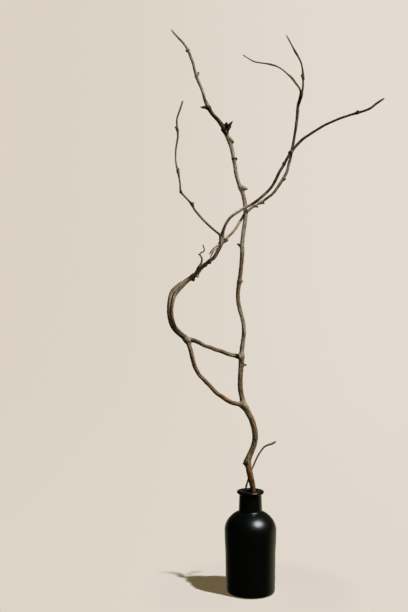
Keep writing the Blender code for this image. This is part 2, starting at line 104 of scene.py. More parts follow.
FRONT_SHOOT = [
    (-36.5, -13, 438, 4), (-34.5, -15, 445.9, 3.8), (-32.3, -16, 452.2, 3.4), (-29.4, -16, 458.1, 3.3),
    (-25.7, -15, 463.2, 3.3), (-20.8, -13, 467.6, 3.3), (-14.8, -10, 471.7, 3.3),
    (-9.9, -6.6, 475.3, 3.3), (-5.3, -4, 477.9, 3.3), (0.6, -2.8, 480.9, 3.3), (7.4, -2.6, 485.4, 3.3),
    (13.6, -2.6, 490.3, 3.3), (20.1, -2.6, 496.1, 3.3), (25.6, -2.6, 502.1, 3.3), (31.1, -2, 511.2, 3.4),
    (36, -1, 521.5, 3.4), (41.4, 0, 530.3, 3.3), (46.2, 0, 539.5, 3.3), (51.5, 0, 547.8, 3.6),
    (58.2, 2, 555.9, 3.5), (65.4, 4, 563.2, 3.4), (73.7, 6, 569.2, 3.1), (83.3, 8, 575.7, 3),
    (93.4, 10, 582, 2.9), (104.1, 12, 587.2, 2.9), (115.1, 15, 592.2, 2.8), (126, 18, 596.5, 2.8),
    (137, 20, 600, 3.2), (146, 22, 603, 2.7), (154, 24, 606.7, 2.8), (161.4, 27, 612.7, 2.6),
    (167.3, 29, 617, 2.5), (173.2, 31, 621, 1.6),
]
BACK_SHOOT = [
    (-38, -14, 431, 4), (-32.7, -12, 436, 3.6), (-27.8, -9, 440.8, 3.2), (-22, -5.6, 446.7, 3.1),
    (-17.1, -2, 453.3, 3.1), (-13.1, 2, 460, 3.1), (-8.8, 6.6, 466.8, 3.1), (-3.3, 8.6, 473.4, 3.2),
    (2.8, 8.8, 479, 3.3), (9.5, 9, 483.2, 3.4), (16.7, 9, 487.3, 3.4), (23, 8, 491.5, 3.3),
    (29, 7, 496.5, 3.3), (33.9, 7, 503, 3.4), (38.3, 6, 509.5, 3.5), (42.4, 6, 516.3, 3.5),
    (46.2, 6, 523.6, 3.4), (48.2, 6, 532.1, 3.4), (50.5, 6, 540.3, 3.4), (52, 6, 549.6, 3.4),
    (54, 5, 559.3, 3.3), (55.5, 4, 568.6, 3.2), (56.8, 2, 577.6, 3.4), (57.7, 0, 586.5, 3.6),
    (58.4, -2, 595.6, 4), (58.9, -4, 603.6, 3.6), (61, -6, 610.5, 4), (62.6, -8, 617, 3.2),
]
FORK_TIP_RIGHT = [
    (62.2, -8, 614.5, 2.8), (64.1, -10, 623.8, 2.4), (64.2, -12, 631.9, 2.2), (63.9, -14, 638.4, 2.8),
    (62.8, -17, 645.3, 2), (60.9, -20, 651.7, 1.9), (57.4, -23, 657.8, 2.1), (53.1, -26, 663.6, 2.8),
    (49.2, -28, 670, 1.8), (45.5, -30, 676, 1.6), (41.5, -32, 682, 1.2),
]
FORK_TIP_LEFT = [
    (62.4, -8, 616, 2.8), (60.5, -6, 624.4, 2.4), (56.2, -4, 631.1, 2.6), (51.8, -1, 638.2, 2.9),
    (46.4, 2, 644.3, 2), (40.9, 5, 650.3, 1.9), (34.9, 9, 655.3, 1.9), (27.9, 13, 659, 2.6),
    (20.5, 17, 661.6, 1.8), (13.2, 21, 663.8, 1.7), (5.8, 25, 666.6, 1.6), (-1, 29, 671.6, 1.4),
    (-7.8, 33, 677.4, 1.2),
]
LEFT_SHOOT = [
    (-36.5, -13, 441, 3.4), (-40, -16, 444, 2.9), (-43.4, -18, 446.5, 2.7), (-49, -20, 451, 2.7),
    (-54.6, -22, 456, 2.7), (-59.8, -24, 461, 2.6), (-64.6, -26, 466.3, 2.6), (-69.2, -28, 471.8, 2.5),
    (-72.6, -30, 478, 3), (-77.2, -32, 483.3, 2.4), (-82, -33, 488.2, 2.4), (-85.6, -34, 492.5, 2.6),
    (-86.5, -36, 501, 2), (-87.4, -37, 508, 2.1), (-88.7, -38, 515.4, 2.8), (-90.5, -39, 522.2, 2.2),
    (-91.6, -40, 529.3, 1.9), (-91.7, -41, 536.3, 1.9), (-91.2, -42, 543.5, 2), (-90, -43, 550.5, 2.1),
    (-88.9, -44, 557.3, 2.1), (-89.2, -45, 564.2, 2.6), (-90, -46, 571, 2.1), (-89.8, -47, 578, 1.9),
    (-87.6, -48, 584.8, 2), (-85.2, -49, 591.2, 2.1), (-83, -49.6, 598.6, 1.9),
]
CURLED_TWIGLET = [
    (-65, -24, 398, 4), (-63.5, -24.5, 402.5, 3.4), (-61, -26, 407, 2.5), (-60.2, -27, 411.3, 2.1),
    (-61.2, -28, 415, 1.9), (-62.6, -28.5, 417.3, 1.7), (-61.2, -28.5, 419.8, 1.6),
    (-58.6, -29, 420.6, 1.6), (-57.3, -29.5, 423.8, 1.5), (-58.4, -30, 426.6, 1.5),
    (-58.6, -31, 429.5, 1),
]
FRAYED_STRIPS = [[
    (-39, -16.5, 430.5, 2.6), (-43.2, -19, 427.4, 2.6), (-47.4, -21.5, 423.4, 2.1),
    (-51.4, -23, 417.6, 1.1),
], [
    (-40, -16.5, 428, 2.2), (-44, -20.5, 424.4, 2.2), (-47, -23.5, 420.2, 1.7), (-50.2, -25, 413.4, 0.9),
]]
SIDE_TWIG = [
    (-7, -2, FOOT, 2.2), (-7, -2, 16, 2.2), (-6.6, -0.6, 60, 2.2), (-6.3, 1.5, 98, 2.4),
    (-6.1, 2.9, 113, 2.5), (-5.7, 4.2, 126, 2.3), (-2.6, 6.4, 137, 2.1), (0, 7.5, 144, 2),
    (2.6, 8, 151, 1.9), (5.6, 8.5, 157.8, 1.9), (8.5, 9, 164.1, 1.9), (12.6, 10, 171.1, 1.9),
    (17.5, 11, 177.2, 2), (22.2, 11.5, 179.9, 2.1), (27.2, 12, 181.4, 2.7), (33.2, 13, 184.4, 1.5),
]

# Each stub: where it starts inside its limb, where it ends, its thickness at both, and its look
STUBS = [
    ((-4, 1, 160), (-8.3, 0, 158.9), 3.2, 2.2, "dark"),
    ((-5, 1, 161), (-7.4, 0, 162.8), 2.2, 0.9, "dark"),
    ((-12, 2, 280.5), (-6, 1.6, 281.5), 0.6, 0.4, "pale"),
    ((-13.5, 4, 385), (-9.8, 3, 386.5), 2.8, 2, "olive"),
    ((-11.5, 3, 430), (-16.6, 2, 432.6), 2.8, 1.2, "dark"),
    ((-7.6, 1, 466.5), (-9.6, -0.5, 469), 2.6, 1.4, "black"),
    ((-11.5, 4, 503.4), (-3.2, 3, 500.9), 5.2, 1.1, "rosy"),
    ((-20.5, 8.5, 539.8), (-16.1, 6.2, 539.2), 3, 2.8, "umber"),
    ((-26, 9.5, 565.5), (-20.3, 8, 559.6), 3.6, 1.4, "rust"),
    ((-52, 13, 605), (-60.8, 12.2, 605.2), 3.6, 2.8, "dark"),
    ((-58, 12.4, 605.2), (-62.3, 12, 605.4), 2.2, 1.6, "pale"),
    ((-67.5, 17, 645), (-64, 16.5, 650.5), 2.8, 2.2, "olive"),
    ((-77.5, 21, 680.5), (-80.8, 20, 677.6), 2.4, 1.6, "dark"),
    ((-70.6, -27, 391), (-70.8, -29.5, 384.9), 4, 3.2, "black"),
    ((-66, -25, 395.5), (-65.2, -28.5, 389.7), 2.8, 3.1, "rosy"),
    ((-56.5, -21.5, 405.5), (-55, -23, 404), 2.3, 1.7, "rust"),
    ((-51.5, -20, 409.5), (-50, -21, 407.2), 2.6, 1.9, "olive"),
    ((-34, -13, 434.5), (-28.6, -12, 436.4), 3.6, 3, "olive"),
    ((41.8, 0, 531.5), (40.6, -0.5, 533.2), 2.4, 1.7, "dark"),
    ((51, 0, 546.5), (47.7, -0.6, 546.2), 3, 2, "dark"),
    ((136.6, 20, 599.8), (137, 19.5, 602.4), 2.8, 2, "dark"),
    ((6, 9, 481.5), (10.4, 8.5, 478.8), 2.8, 0.9, "pale"),
    ((12, 9, 484.8), (18.4, 8, 483.6), 2.8, 1, "pale"),
    ((42, 6, 514.5), (44.4, 5.5, 512.6), 2.6, 1.6, "dark"),
    ((64.6, -12.5, 634.5), (61.6, -14, 638.6), 2.2, 1.6, "dark"),
    ((-71.6, -30, 477), (-70.8, -31, 480.6), 2.6, 1.8, "black"),
    ((-89.4, -38, 516), (-88, -38.5, 519.6), 2.4, 1.8, "dark"),
    ((-89.2, -45, 564), (-92.4, -46, 568.6), 1.9, 1.1, "olive"),
    ((-85.2, -34, 492.6), (-86.8, -35, 491.4), 2, 1.4, "black"),
    ((-62.6, -28.5, 417.3), (-64.8, -29, 417.2), 1.5, 1.2, "black"),
]

# The cluster of dark buds, and one on a thin stalk: where each starts, its tip, and its thickness at both
BUDS = [
    ((-31, 9, 576), (-29.3, 7.5, 585.6), 4.8, 2.2),
    ((-30.5, 9, 576), (-21.6, 7, 586.8), 3.8, 0.5),
    ((-31, 8.5, 576.5), (-23.4, 7, 580.4), 4.6, 0.8),
    ((-31, 8.5, 575), (-25, 6, 577.4), 4.4, 0.8),
    ((-31, 8.5, 572.5), (-26.8, 6, 575.2), 4, 1),
    ((-32, 9.5, 576.5), (-33, 7.5, 583.6), 3.2, 0.8),
    ((-31, 9.5, 574), (-36.4, 9.5, 577.2), 3.6, 1),
    ((-31, 10, 577), (-27.4, 2.8, 582), 4.4, 0.7),
    ((-31, 9, 574), (-30.4, 3.6, 571.6), 4, 0.9),
    ((-31, 11, 577), (-26, 15.6, 582.6), 4, 0.7),
    ((-31, 11, 574), (-29.2, 16, 574.4), 3.6, 0.9),
    ((-6.9, 1.6, 281.2), (-4.6, 1.5, 281.8), 2.6, 1.6),
]

# How buds and stubs narrow: place along them, and share of the root's thickness kept there
STUB_SHAPE = [(0, 1), (0.3, 0.92), (0.55, 0.8), (0.9, 0.4), (1, 0)]
BUD_SHAPE = [(0, 0.8), (0.25, 0.95), (0.45, 1), (0.75, 0.7), (1, 0)]

# The limbs' colours: the axis that runs along the limb, then (place, pale, warm, dark) in
# millimetres and shares of one, from one end to the other
UPWARDS, RIGHTWARDS = 2, 0
STEM_TONES = (UPWARDS, [
    (118, 0, 0.45, 0.65), (140, 0, 0.65, 0.45), (156, 0.05, 0.55, 0.38), (162, 0.15, 0.35, 0.3),
    (172, 0.18, 0.25, 0.15), (182, 0.15, 0.25, 0.18), (187, 0.12, 0.35, 0.38), (203, 0.12, 0.4, 0.3),
    (208, 0.12, 0.32, 0.28), (224, 0.14, 0.3, 0.26), (230, 0.26, 0.18, 0.18), (234, 0.3, 0.12, 0.15),
    (238, 0.18, 0.15, 0.28), (243, 0.2, 0.2, 0.3), (262, 0.12, 0.35, 0.32), (280, 0.15, 0.05, 0.4),
    (292, 0.3, 0, 0.3), (300, 0.45, 0, 0.2), (318, 0.5, 0, 0.15), (340, 0.65, 0.05, 0),
    (348, 0.65, 0.05, 0), (358, 0.2, 0.2, 0.18), (372, 0.05, 0.15, 0.3), (384, 0.1, 0.15, 0.3),
    (390, 0.15, 0.35, 0.2), (416, 0.15, 0.3, 0.2), (421, 0.35, 0.1, 0.15), (430, 0.8, 0, -0.2),
    (440, 1.15, 0, -0.55), (468, 1.1, 0, -0.45), (478, 0.5, 0.05, 0.15), (488, 0.45, 0.05, 0.2),
    (505, 0.6, 0, 0.05), (560, 0.6, 0.05, 0.05), (568, 0.5, 0.1, 0.2), (575, 0.15, 0.1, 0.6),
    (584, 0.1, 0.3, 0.55), (603, 0.05, 0.35, 0.6), (609, 0.35, 0.05, 0.3), (640, 0.45, 0, 0.2),
    (672, 0.5, -0.1, 0.1), (682, 0.75, -0.3, -0.15), (707, 0.85, -0.4, -0.3),
])
LIMB_TONES = (UPWARDS, [
    (229, 0.3, 0.2, 0.2), (236, 0.25, 0.4, 0.25), (262, 0.25, 0.4, 0.3), (285, 0.15, 0.3, 0.4),
    (300, 0.1, 0.15, 0.5), (314, 0.2, 0.2, 0.45), (320, 0.05, 0.1, 0.75), (330, 0.05, 0.1, 0.6),
    (345, 0.25, 0, 0.24), (365, 0.3, 0, 0.15), (380, 0.22, 0.05, 0.2), (386, 0.15, 0.1, 0.35),
    (390, 0, 0.1, 0.75), (394, -0.15, 0.15, 0.85), (406, -0.15, 0.1, 0.95), (412, 0.05, 0.1, 0.65),
    (422, 0.12, 0.1, 0.55), (430, 0.2, 0.05, 0.4), (442, 0.15, 0.1, 0.55),
])
CROSS_TONES = (RIGHTWARDS, [
    (-79, 0.25, 0.2, 0.35), (-60, 0.1, 0.1, 0.45), (-42, 0.3, 0.15, 0.25), (-22, 0.25, 0.2, 0.3),
    (-19.5, 0.05, 0.1, 0.6), (-18, 0, 0, 1.4), (-15.2, 0, 0, 1.3), (-13.8, 0.3, 0, 0.3),
])
FRONT_TONES = (RIGHTWARDS, [
    (-36, 0.1, 0.1, 0.5), (-20, 0.25, 0.1, 0.3), (-8, 0.35, 0.1, 0.2), (0, 0.35, 0.1, 0.2),
    (5, 0.1, 0.1, 0.55), (30, 0.1, 0.1, 0.6), (52, 0.05, 0.05, 0.6), (58, 0.05, 0.1, 0.6),
    (66, -0.1, 0.05, 0.85), (140, -0.1, 0.05, 0.85), (173, 0, 0.05, 0.75),
])
# From 460 to about 490 mm the back shoot is painted paler: painted light against the shadows that
# the stem and the front shoot cast on it.
BACK_TONES = (UPWARDS, [
    (431, 0.3, 0.1, 0.3), (448, 0.4, 0.05, 0.1), (460, 0.65, 0, -0.25), (468, 0.8, 0, -0.5),
    (480, 0.8, 0.05, -0.35), (494, 0.55, 0.1, 0), (530, 0.35, 0.15, 0.25), (545, 0.2, 0.3, 0.35),
    (575, 0.2, 0.3, 0.35), (582, 0.45, 0.05, 0.2), (600, 0.4, 0.15, 0.25), (606, 0.1, 0.1, 0.7),
    (617, 0.15, 0.2, 0.5), (623, 0.2, 0.4, 0.15), (690, 0.25, 0.35, 0.1),
])
LEFT_TONES = (UPWARDS, [
    (440, 0.12, 0, 0.38), (474, 0.2, 0, 0.28), (478, 0.05, 0.05, 0.65), (484, 0.3, 0.05, 0.12),
    (600, 0.25, 0.1, 0.15),
])
CURL_TONES = (UPWARDS, [
    (395, -0.2, 0.1, 1.1), (401, -0.1, 0.15, 0.85), (406, 0.6, 0.2, -0.25), (430, 0.6, 0.15, -0.1),
])
STRIP_TONES = (UPWARDS, [
    (412, 0.1, 0.15, 0.8), (419.5, 0.1, 0.15, 0.7), (423, 0.6, 0.1, -0.1), (431, 0.9, 0.05, -0.4),
])
TWIG_TONES = (UPWARDS, [
    (4, 0, 0.15, 0.75), (138, 0, 0.15, 0.65), (150, 0, 0.5, 0.45), (176, 0, 0.55, 0.4),
    (181, 0.05, 0.2, 0.6), (185, 0.2, 0.4, 0.35),
])
STUB_LOOKS = {
    "black": (0, 0.05, 1), "dark": (0.05, 0.15, 0.65), "olive": (0.25, 0.1, 0.3),
    "rust": (0.15, 0.6, 0.25), "pale": (0.55, 0.15, 0),
    "rosy": (0.4, 0.25, 0.05), "umber": (-0.1, 0.35, 0.85),
}

# The thick bend of the left limb is three strands that grew together and wind slowly round it: the
# points of its route where they start and how many they span, then sizes in millimetres and shares
STRAND_COUNT = 3
STRAND_FIRST, STRAND_SPAN = 15, 11
STRAND_OFFSET, STRAND_RADIUS, STRAND_END_SHARE = 1.72, 2.4, 0.72
STRAND_START, STRAND_TURN = math.radians(40), math.radians(11)
STRAND_SHARPNESS = 5.0
STRAND_BULGE, CREASE_FADE = 0.36, 0.45

# Soft steps, each by its start and span, and soft peaks, each by its middle and span
# The crease's step and fade place its painted shade, the lip's peaks its painted highlight.
CREASE_DROP, CREASE_FADING = (0.6, 0.5), (369, 10)
LIP_DROP, LIP_HEIGHT, BULGE_PLACE = (0.5, 0.15), (367, 10), (0.78, 0.16)
GREY_HEIGHT, BROWN_HEIGHT = (332, 28), (346, 20)
SHADED_SIDE, FLAKE_EDGE, SUNK_GAP = (0.55, 0.4), (0.52, 0.07), (-0.8, 0.7)

# Bottle, in millimetres
SHOULDER = 76.2
BODY_MIDDLE = 31.8
BODY_STRAIGHT, BODY_STRAIGHT_HEIGHT = 31.05, 49.0
BODY_FOOT, HEEL_ROUND = 30.5, 3.0
SHOULDER_RISE, INNER_SHOULDER_RISE = 26.5, 25.0
NECK_FOOT, NECK_TOP = 14.5, 13.7
LIP_OUTER, LIP_THICKNESS, LIP_ROUND = 17.0, 3.8, 1.7
MOUTH, MOUTH_ROUND = 8.6, 1.2
WALL = 3.0
FLOOR_ROUND = 6.0
BASE_RING, BASE_RECESS, RECESS_SLOPE = 25.0, 0.8, 2.0
CORNER_STEPS, INNER_STEPS, OUTER_STEPS = 12, 30, 40
SECTION_STEP, SECTION_SOFTNESS = 0.4, 3

# Backdrop in millimetres, lights and camera in metres
STAGE_TOP, STAGE_FLAT, STAGE_BEND, STAGE_HEIGHT = -0.1, 2000.0, 1500.0, 2800.0
RIM_WIDTH, STAGE_UNDERSIDE = 50.0, -100.0
BEND_STEPS, BACKDROP_SIDES = 40, 160
MOTTLE_SCALE, MOTTLE_RANGE = 3.0, (0.3, 0.7, 0.985, 1.0)
WALL_RANGE = (-0.9, 0.9)
TO_SUN = (0.439, -0.304, 0.845)
TO_SOFTBOX = (0.455, -0.36, 0.80)
SOFTBOX_FAR = 2.0
SOFTBOX_SIZE = (1.2, 0.95)
SOFTBOX_COLOUR = (1.0, 0.90, 1.28)
FILL_SIZE = 1.6
FILL_PLACE = (-1.3, -1.7, 0.6)
FILL_AIM = (0.0, 0.0, 0.35)
FILL_FROM, FILL_RANGE = (0.35, 0.94, 0.0), (0.15, 1.0)
OVERHEAD_RANGE = (-0.22, 0.25, 1.0, 0.10)
LENS = 50.0
CAMERA_PLACE = (-0.05776, -1.058, 0.355)
CAMERA_REACH = 50

# Sizes of the bark's noise cells: across, across and along the limb
SLOW_CELL = (4.0, 4.0, 16.0)
RIDGE_CELL = (1.1, 1.1, 13.0)
FINE_CELL = (0.5, 0.5, 3.0)
FLAKE_CELL = (2.4, 2.4, 7.0)
PATCH_CELL = (3.5, 3.5, 12.0)

# How the noise shifts with each seed, and how it draws a chance number for a lattice corner
SEED_SHIFT = np.array([37.0, 17.0, 53.0])
LATTICE = np.array([127.1, 311.7, 74.7])
SEED_PARTS = 10
SCATTER = 43758.5453

# Depth of the relief, in radii: slow swellings, folded ridges, fine grain, flakes and rings
RELIEF = (0.13, 0.09, 0.05, 0.035, 0.05)
RIDGE_MEAN = 0.4
RING_WIDTH, RING_STRAY = 0.7, 0.6
TWIST = 90.0
LEAST_SIZE = 0.3
SCALE_ROWS, SCALE_TURNS, SCALE_DEPTH, SCALE_SINK = 5, (2, -3), 0.22, 0.1

# How much each mark adds to the bark's pale, warm and dark, painted light and shade among them
# Painted light and shade: the side facing up and right, towards the key light, paler and the side
# away from it darker, the left side darker still, the right strand paler where it faces right, the
# crease between the strands darker, and the pale lip beside the crease a painted highlight.
LIT_SIDE_FACING = np.array([0.75, 0.0, 0.66])
TONE_SHARES = {
    "painted_lit_side": (0.3, 0, -0.26), "right side": (0, 0.25, 0), "shade": (0, 0, 0.35),
    "patch": (0.6, -0.3, -0.2), "ridge": (0.4, 0, -0.4), "ring": (0, 0, 0.2),
    "crease": (0, 0, 1.1), "lip": (3, -0.8, -2.2),
    "left strand": (-0.15, -0.35, 0.15), "left grey": (0.2, 0, -0.35),
    "right strand": (0, 0.05, -0.2), "right brown": (0, 0.25, 0.35), "right lit": (0.6, 0, 0),
}

# The bark's patterns by their scale round the limb and along it, then where each colour sets in
STREAK_SCALE, FIBRE_SCALE, BLOTCH_SCALE = (1.1, 0.055), (3.6, 0.25), (0.4, 0.12)
SPECK_SCALE, CRACK_SCALE, WAVE_SCALE = (2.2, 1.4), (0.75, 0.11), 0.35
PALE_RANGE, WARM_RANGE, DARK_RANGE = (1.3, 2.35), (0.45, 1.25), (-0.7, 0.1)
SPECK_RANGE, FIBRE_RANGE = (0.66, 0.74, 0, 0.3), (0.3, 0.7)
CRACK_RANGE, CRACKED_RANGE = (0.10, 0.0), (0.4, 0.62)
PALE_STREAK, PALE_BLOTCH, WARM_FIBRE, DARK_STREAK, DARK_CRACK = 2.2, 0.6, 0.8, -1.6, 0.75
CRACK_HEIGHT, FIBRE_HEIGHT, ROUGHNESS_SPREAD = -0.7, 0.5, 0.12
BARK_GLOSS, BARK_SHEEN = 0.12, (1.0, 0.82, 0.45, 1)

# The glass's patterns by their scale, and where each sets in
RIPPLE_SCALE, SMUDGE_SCALE, DUST_SCALE = 45.0, 60.0, 2600.0
SMUDGE_RANGE, SMUDGE_SPREAD, DUST_RANGE = (0.35, 0.65), (-0.01, 0.015), (0.70, 0.78, 0, 0.04)
GLASS_IOR = 1.5

# Meshing in millimetres, and the smooth hollows where limbs meet, in shares of both radii
CURVE_STEP, END_STEPS, EXTRA_BEND_SIDES = 0.4, 7, 16
BLEND, LEAST_BLEND, BLEND_ROUNDS = 0.8, 0.001, 3
FAR, REACH = 1000.0, 5.0
VIEW = np.array([0.0, 1.0, 0.0])

Path = namedtuple("Path", "place across front radius run index end")
Shell = namedtuple("Shell", "points quads fans grain tone")


def unit(vectors):
    """The vectors at length one."""
    return vectors / np.linalg.norm(vectors, axis=-1, keepdims=True)


def ease(value, start=0, span=1):
    """A soft step: 3t2 - 2t3, t being (value - start) / span held between 0 and 1."""
    t = np.clip((value - start) / span, 0, 1)
    return t * t * (3 - 2 * t)


def peak(value, middle, span):
    """A soft peak: e to the minus the square of (value - middle) / span."""
    return np.exp(-(((value - middle) / span) ** 2))


def noise(points, seed):
    """Value noise: a chance number at each corner of a unit lattice, eased across the cell."""
    points = points + seed * LATTICE / SEED_PARTS
    cell = np.floor(points)
    inside = ease(points - cell)
    total = np.zeros(points.shape[:-1])
    for corner in np.ndindex(2, 2, 2):
        chance = np.sin((cell + corner) @ LATTICE) * SCATTER
        weight = np.prod(np.where(corner, inside, 1 - inside), axis=-1)
        total += (chance - np.floor(chance)) * weight
    return total


def smooth_route(route, step):
    """Points about a step apart on a cubic curve through a route, and their places along it.

    Each stretch is a Hermite curve. The slope at a point is the line between its two neighbours,
    and the thickness is carried along as a fourth coordinate.
    """
    knots = np.array(route, dtype=float)
    start, end = knots[:-1], knots[1:]
    before, after = np.vstack([knots[:1], knots[:-2]]), np.vstack([knots[2:], knots[-1:]])
    span = np.linalg.norm((end - start)[:, :3], axis=1)
    slope_in = (end - before) * (span / np.linalg.norm((end - before)[:, :3], axis=1))[:, None]
    slope_out = (after - start) * (span / np.linalg.norm((after - start)[:, :3], axis=1))[:, None]
    count = np.maximum(1, np.round(span / step)).astype(int)
    piece = np.repeat(np.arange(len(start)), count)
    first = np.repeat(np.cumsum(count) - count, count)
    t = ((np.arange(count.sum()) - first) / count[piece])[:, None]
    curve = (
        start[piece] * (2 * t**3 - 3 * t**2 + 1) + slope_in[piece] * (t**3 - 2 * t**2 + t)
        + end[piece] * (3 * t**2 - 2 * t**3) + slope_out[piece] * (t**3 - t**2)
    )
    return np.vstack([curve, knots[-1:]]), np.append(piece + t[:, 0], len(start))


def walk(route, step, ends):
    """Stations along a route, each with its frame and radius, and both ends rounded.

    Near an end the radius shrinks as the sine of an angle while the station moves by one minus its
    cosine, times the end radius and the roundness given for that end: an ellipse in section.
    """
    curve, index = smooth_route(route, CURVE_STEP)
    run = np.append(0, np.cumsum(np.linalg.norm(np.diff(curve[:, :3], axis=0), axis=1)))
    angle = np.linspace(0, math.pi / 2, END_STEPS + 1)
    depth = ends[0] * curve[0, 3] / 2, ends[1] * curve[-1, 3] / 2
    count = max(3, round((run[-1] - sum(depth)) / step))
    middle = np.linspace(depth[0], run[-1] - depth[1], count + 1)[1:-1]
    shrink = 1 - np.cos(angle)
    at = np.concatenate([depth[0] * shrink, middle, run[-1] - depth[1] * shrink[::-1]])
    end = np.concatenate([np.sin(angle), np.ones(len(middle)), np.sin(angle[::-1])])

    def read(values):
        """The values of the curve's points, at the stations."""
        return np.stack([np.interp(at, run, column) for column in values.T], axis=1)

    along = unit(read(np.gradient(curve[:, :3], run, axis=0)))
    across = unit(np.cross(along, VIEW))
    front = np.cross(along, across)
    place = read(curve)
    return Path(place[:, :3], across, front, place[:, 3] / 2 * end, at, np.interp(at, run, index), end)


def nearest(points, curve):
    """The gap from each point to the closest of the spheres along a curve, and that one's radius."""
    gap = np.linalg.norm(points[:, None] - curve[None, :, :3], axis=2) - curve[:, 3] / 2
    closest = np.argmin(gap, axis=1)
    return gap[np.arange(len(points)), closest], curve[closest, 3] / 2


def meet(base, outward, radius, others):
    """How far a limb's surface rises where another limb grows from it, as a smooth hollow.

    The surface moves out until the smooth least of its own height and the gap to the other limb
    is zero: least(a, b) - (k - |a - b|)2 / 4k, k being a share of both radii. It sinks back
    inside the other limb.
    """
    centres = base.mean(axis=1)
    close = []
    for curve in others:
        apart = np.linalg.norm(centres[:, None] - curve[None, :, :3], axis=2)
        touch = apart - curve[:, 3] / 2 - radius[:, None] < REACH
        if touch.any():
            close.append((touch.any(axis=1), curve[touch.any(axis=0)]))
    rise = np.zeros(base.shape[:2])
    for _ in range(BLEND_ROUNDS):
        gap = np.full_like(rise, FAR)
        size = np.zeros_like(rise)
        for rows, curve in close:
            surface = base[rows] + outward[rows] * rise[rows][..., None]
            found = nearest(surface.reshape(-1, 3), curve)
            here, there = (part.reshape(-1, rise.shape[1]) for part in found)
            size[rows] = np.where(here < gap[rows], there, size[rows])
            gap[rows] = np.minimum(here, gap[rows])
        reach = BLEND * (radius[:, None] + size) + LEAST_BLEND
        hollow = np.maximum(reach - np.abs(rise - gap), 0)
        rise = np.maximum(rise - np.minimum(rise, gap) + hollow**2 / (4 * reach), 0)
    return rise * ease(gap, *SUNK_GAP)


def shell(rings, grain, tone):
    """A closed surface from rings of points. The first and last ring are single points, its poles."""
    rows, sides = rings.shape[:2]
    inner = np.arange(1, 1 + (rows - 2) * sides).reshape(rows - 2, sides)
    after = np.roll(inner, -1, axis=1)
    quads = np.stack([inner[:-1], after[:-1], after[1:], inner[1:]], axis=-1).reshape(-1, 4)
    last = np.full(sides, 1 + inner.size)
    fans = np.concatenate([
        np.stack([np.zeros(sides, int), after[0], inner[0]], axis=1),
        np.stack([last, inner[-1], after[-1]], axis=1),
    ])

    def flat(values):
        """The values of the rings' points, with one for each pole."""
        return np.concatenate([values[:1, 0], values[1:-1].reshape(-1, 3), values[-1:, 0]])

    return Shell(flat(rings), quads, fans, flat(grain), flat(tone))


def strands(path, angles):
    """The bend's section, as three round strands seen from its middle.

    A strand at angle p and offset o has the edge o cos(a - p) + root(R2 - o2 sin2(a - p)). The edge
    is the smooth greatest of the three and of the plain limb: log(sum of e to the q times edge) / q.
    Offset and radius swell with the root of a half sine, and bulge once more near the bend's end. A
    crease, painted shade, sets in where the edge drops between two strands, and just outside it lies
    a pale lip, a painted highlight.
    Returned are the edge, the crease, the shares of the left and right strand, and the lip.
    """
    place = np.clip((path.index - STRAND_FIRST) / STRAND_SPAN, 0, 1)[:, None]
    swell = np.sqrt(np.clip(np.sin(math.pi * place), 0, 1))
    bulge = 1 + STRAND_BULGE * peak(place, *BULGE_PLACE)
    offset = STRAND_OFFSET * swell * bulge
    radius = STRAND_RADIUS * (STRAND_END_SHARE + (1 - STRAND_END_SHARE) * swell) * bulge
    wind = STRAND_START + STRAND_TURN * place
    edges = [path.radius[:, None] * np.ones_like(angles)[None]]
    for strand in range(STRAND_COUNT):
        apart = angles[None] - wind - TAU * strand / STRAND_COUNT
        inside = np.maximum(radius**2 - (offset * np.sin(apart)) ** 2, 0)
        edges.append(np.where(swell > 0, offset * np.cos(apart) + np.sqrt(inside), -FAR))
    weight = np.exp(STRAND_SHARPNESS * np.array(edges))
    edge = np.log(weight.sum(axis=0)) / STRAND_SHARPNESS
    height = path.place[:, 2:]
    drop = (offset + radius - edge) / bulge
    crease = ease(drop, *CREASE_DROP) * swell * (1 - CREASE_FADE * ease(height, *CREASE_FADING))
    lip = peak(drop, *LIP_DROP) * swell * peak(height, *LIP_HEIGHT)
    share = weight / weight.sum(axis=0) * swell
    return edge, crease, share[1], share[2], lip * share[1]


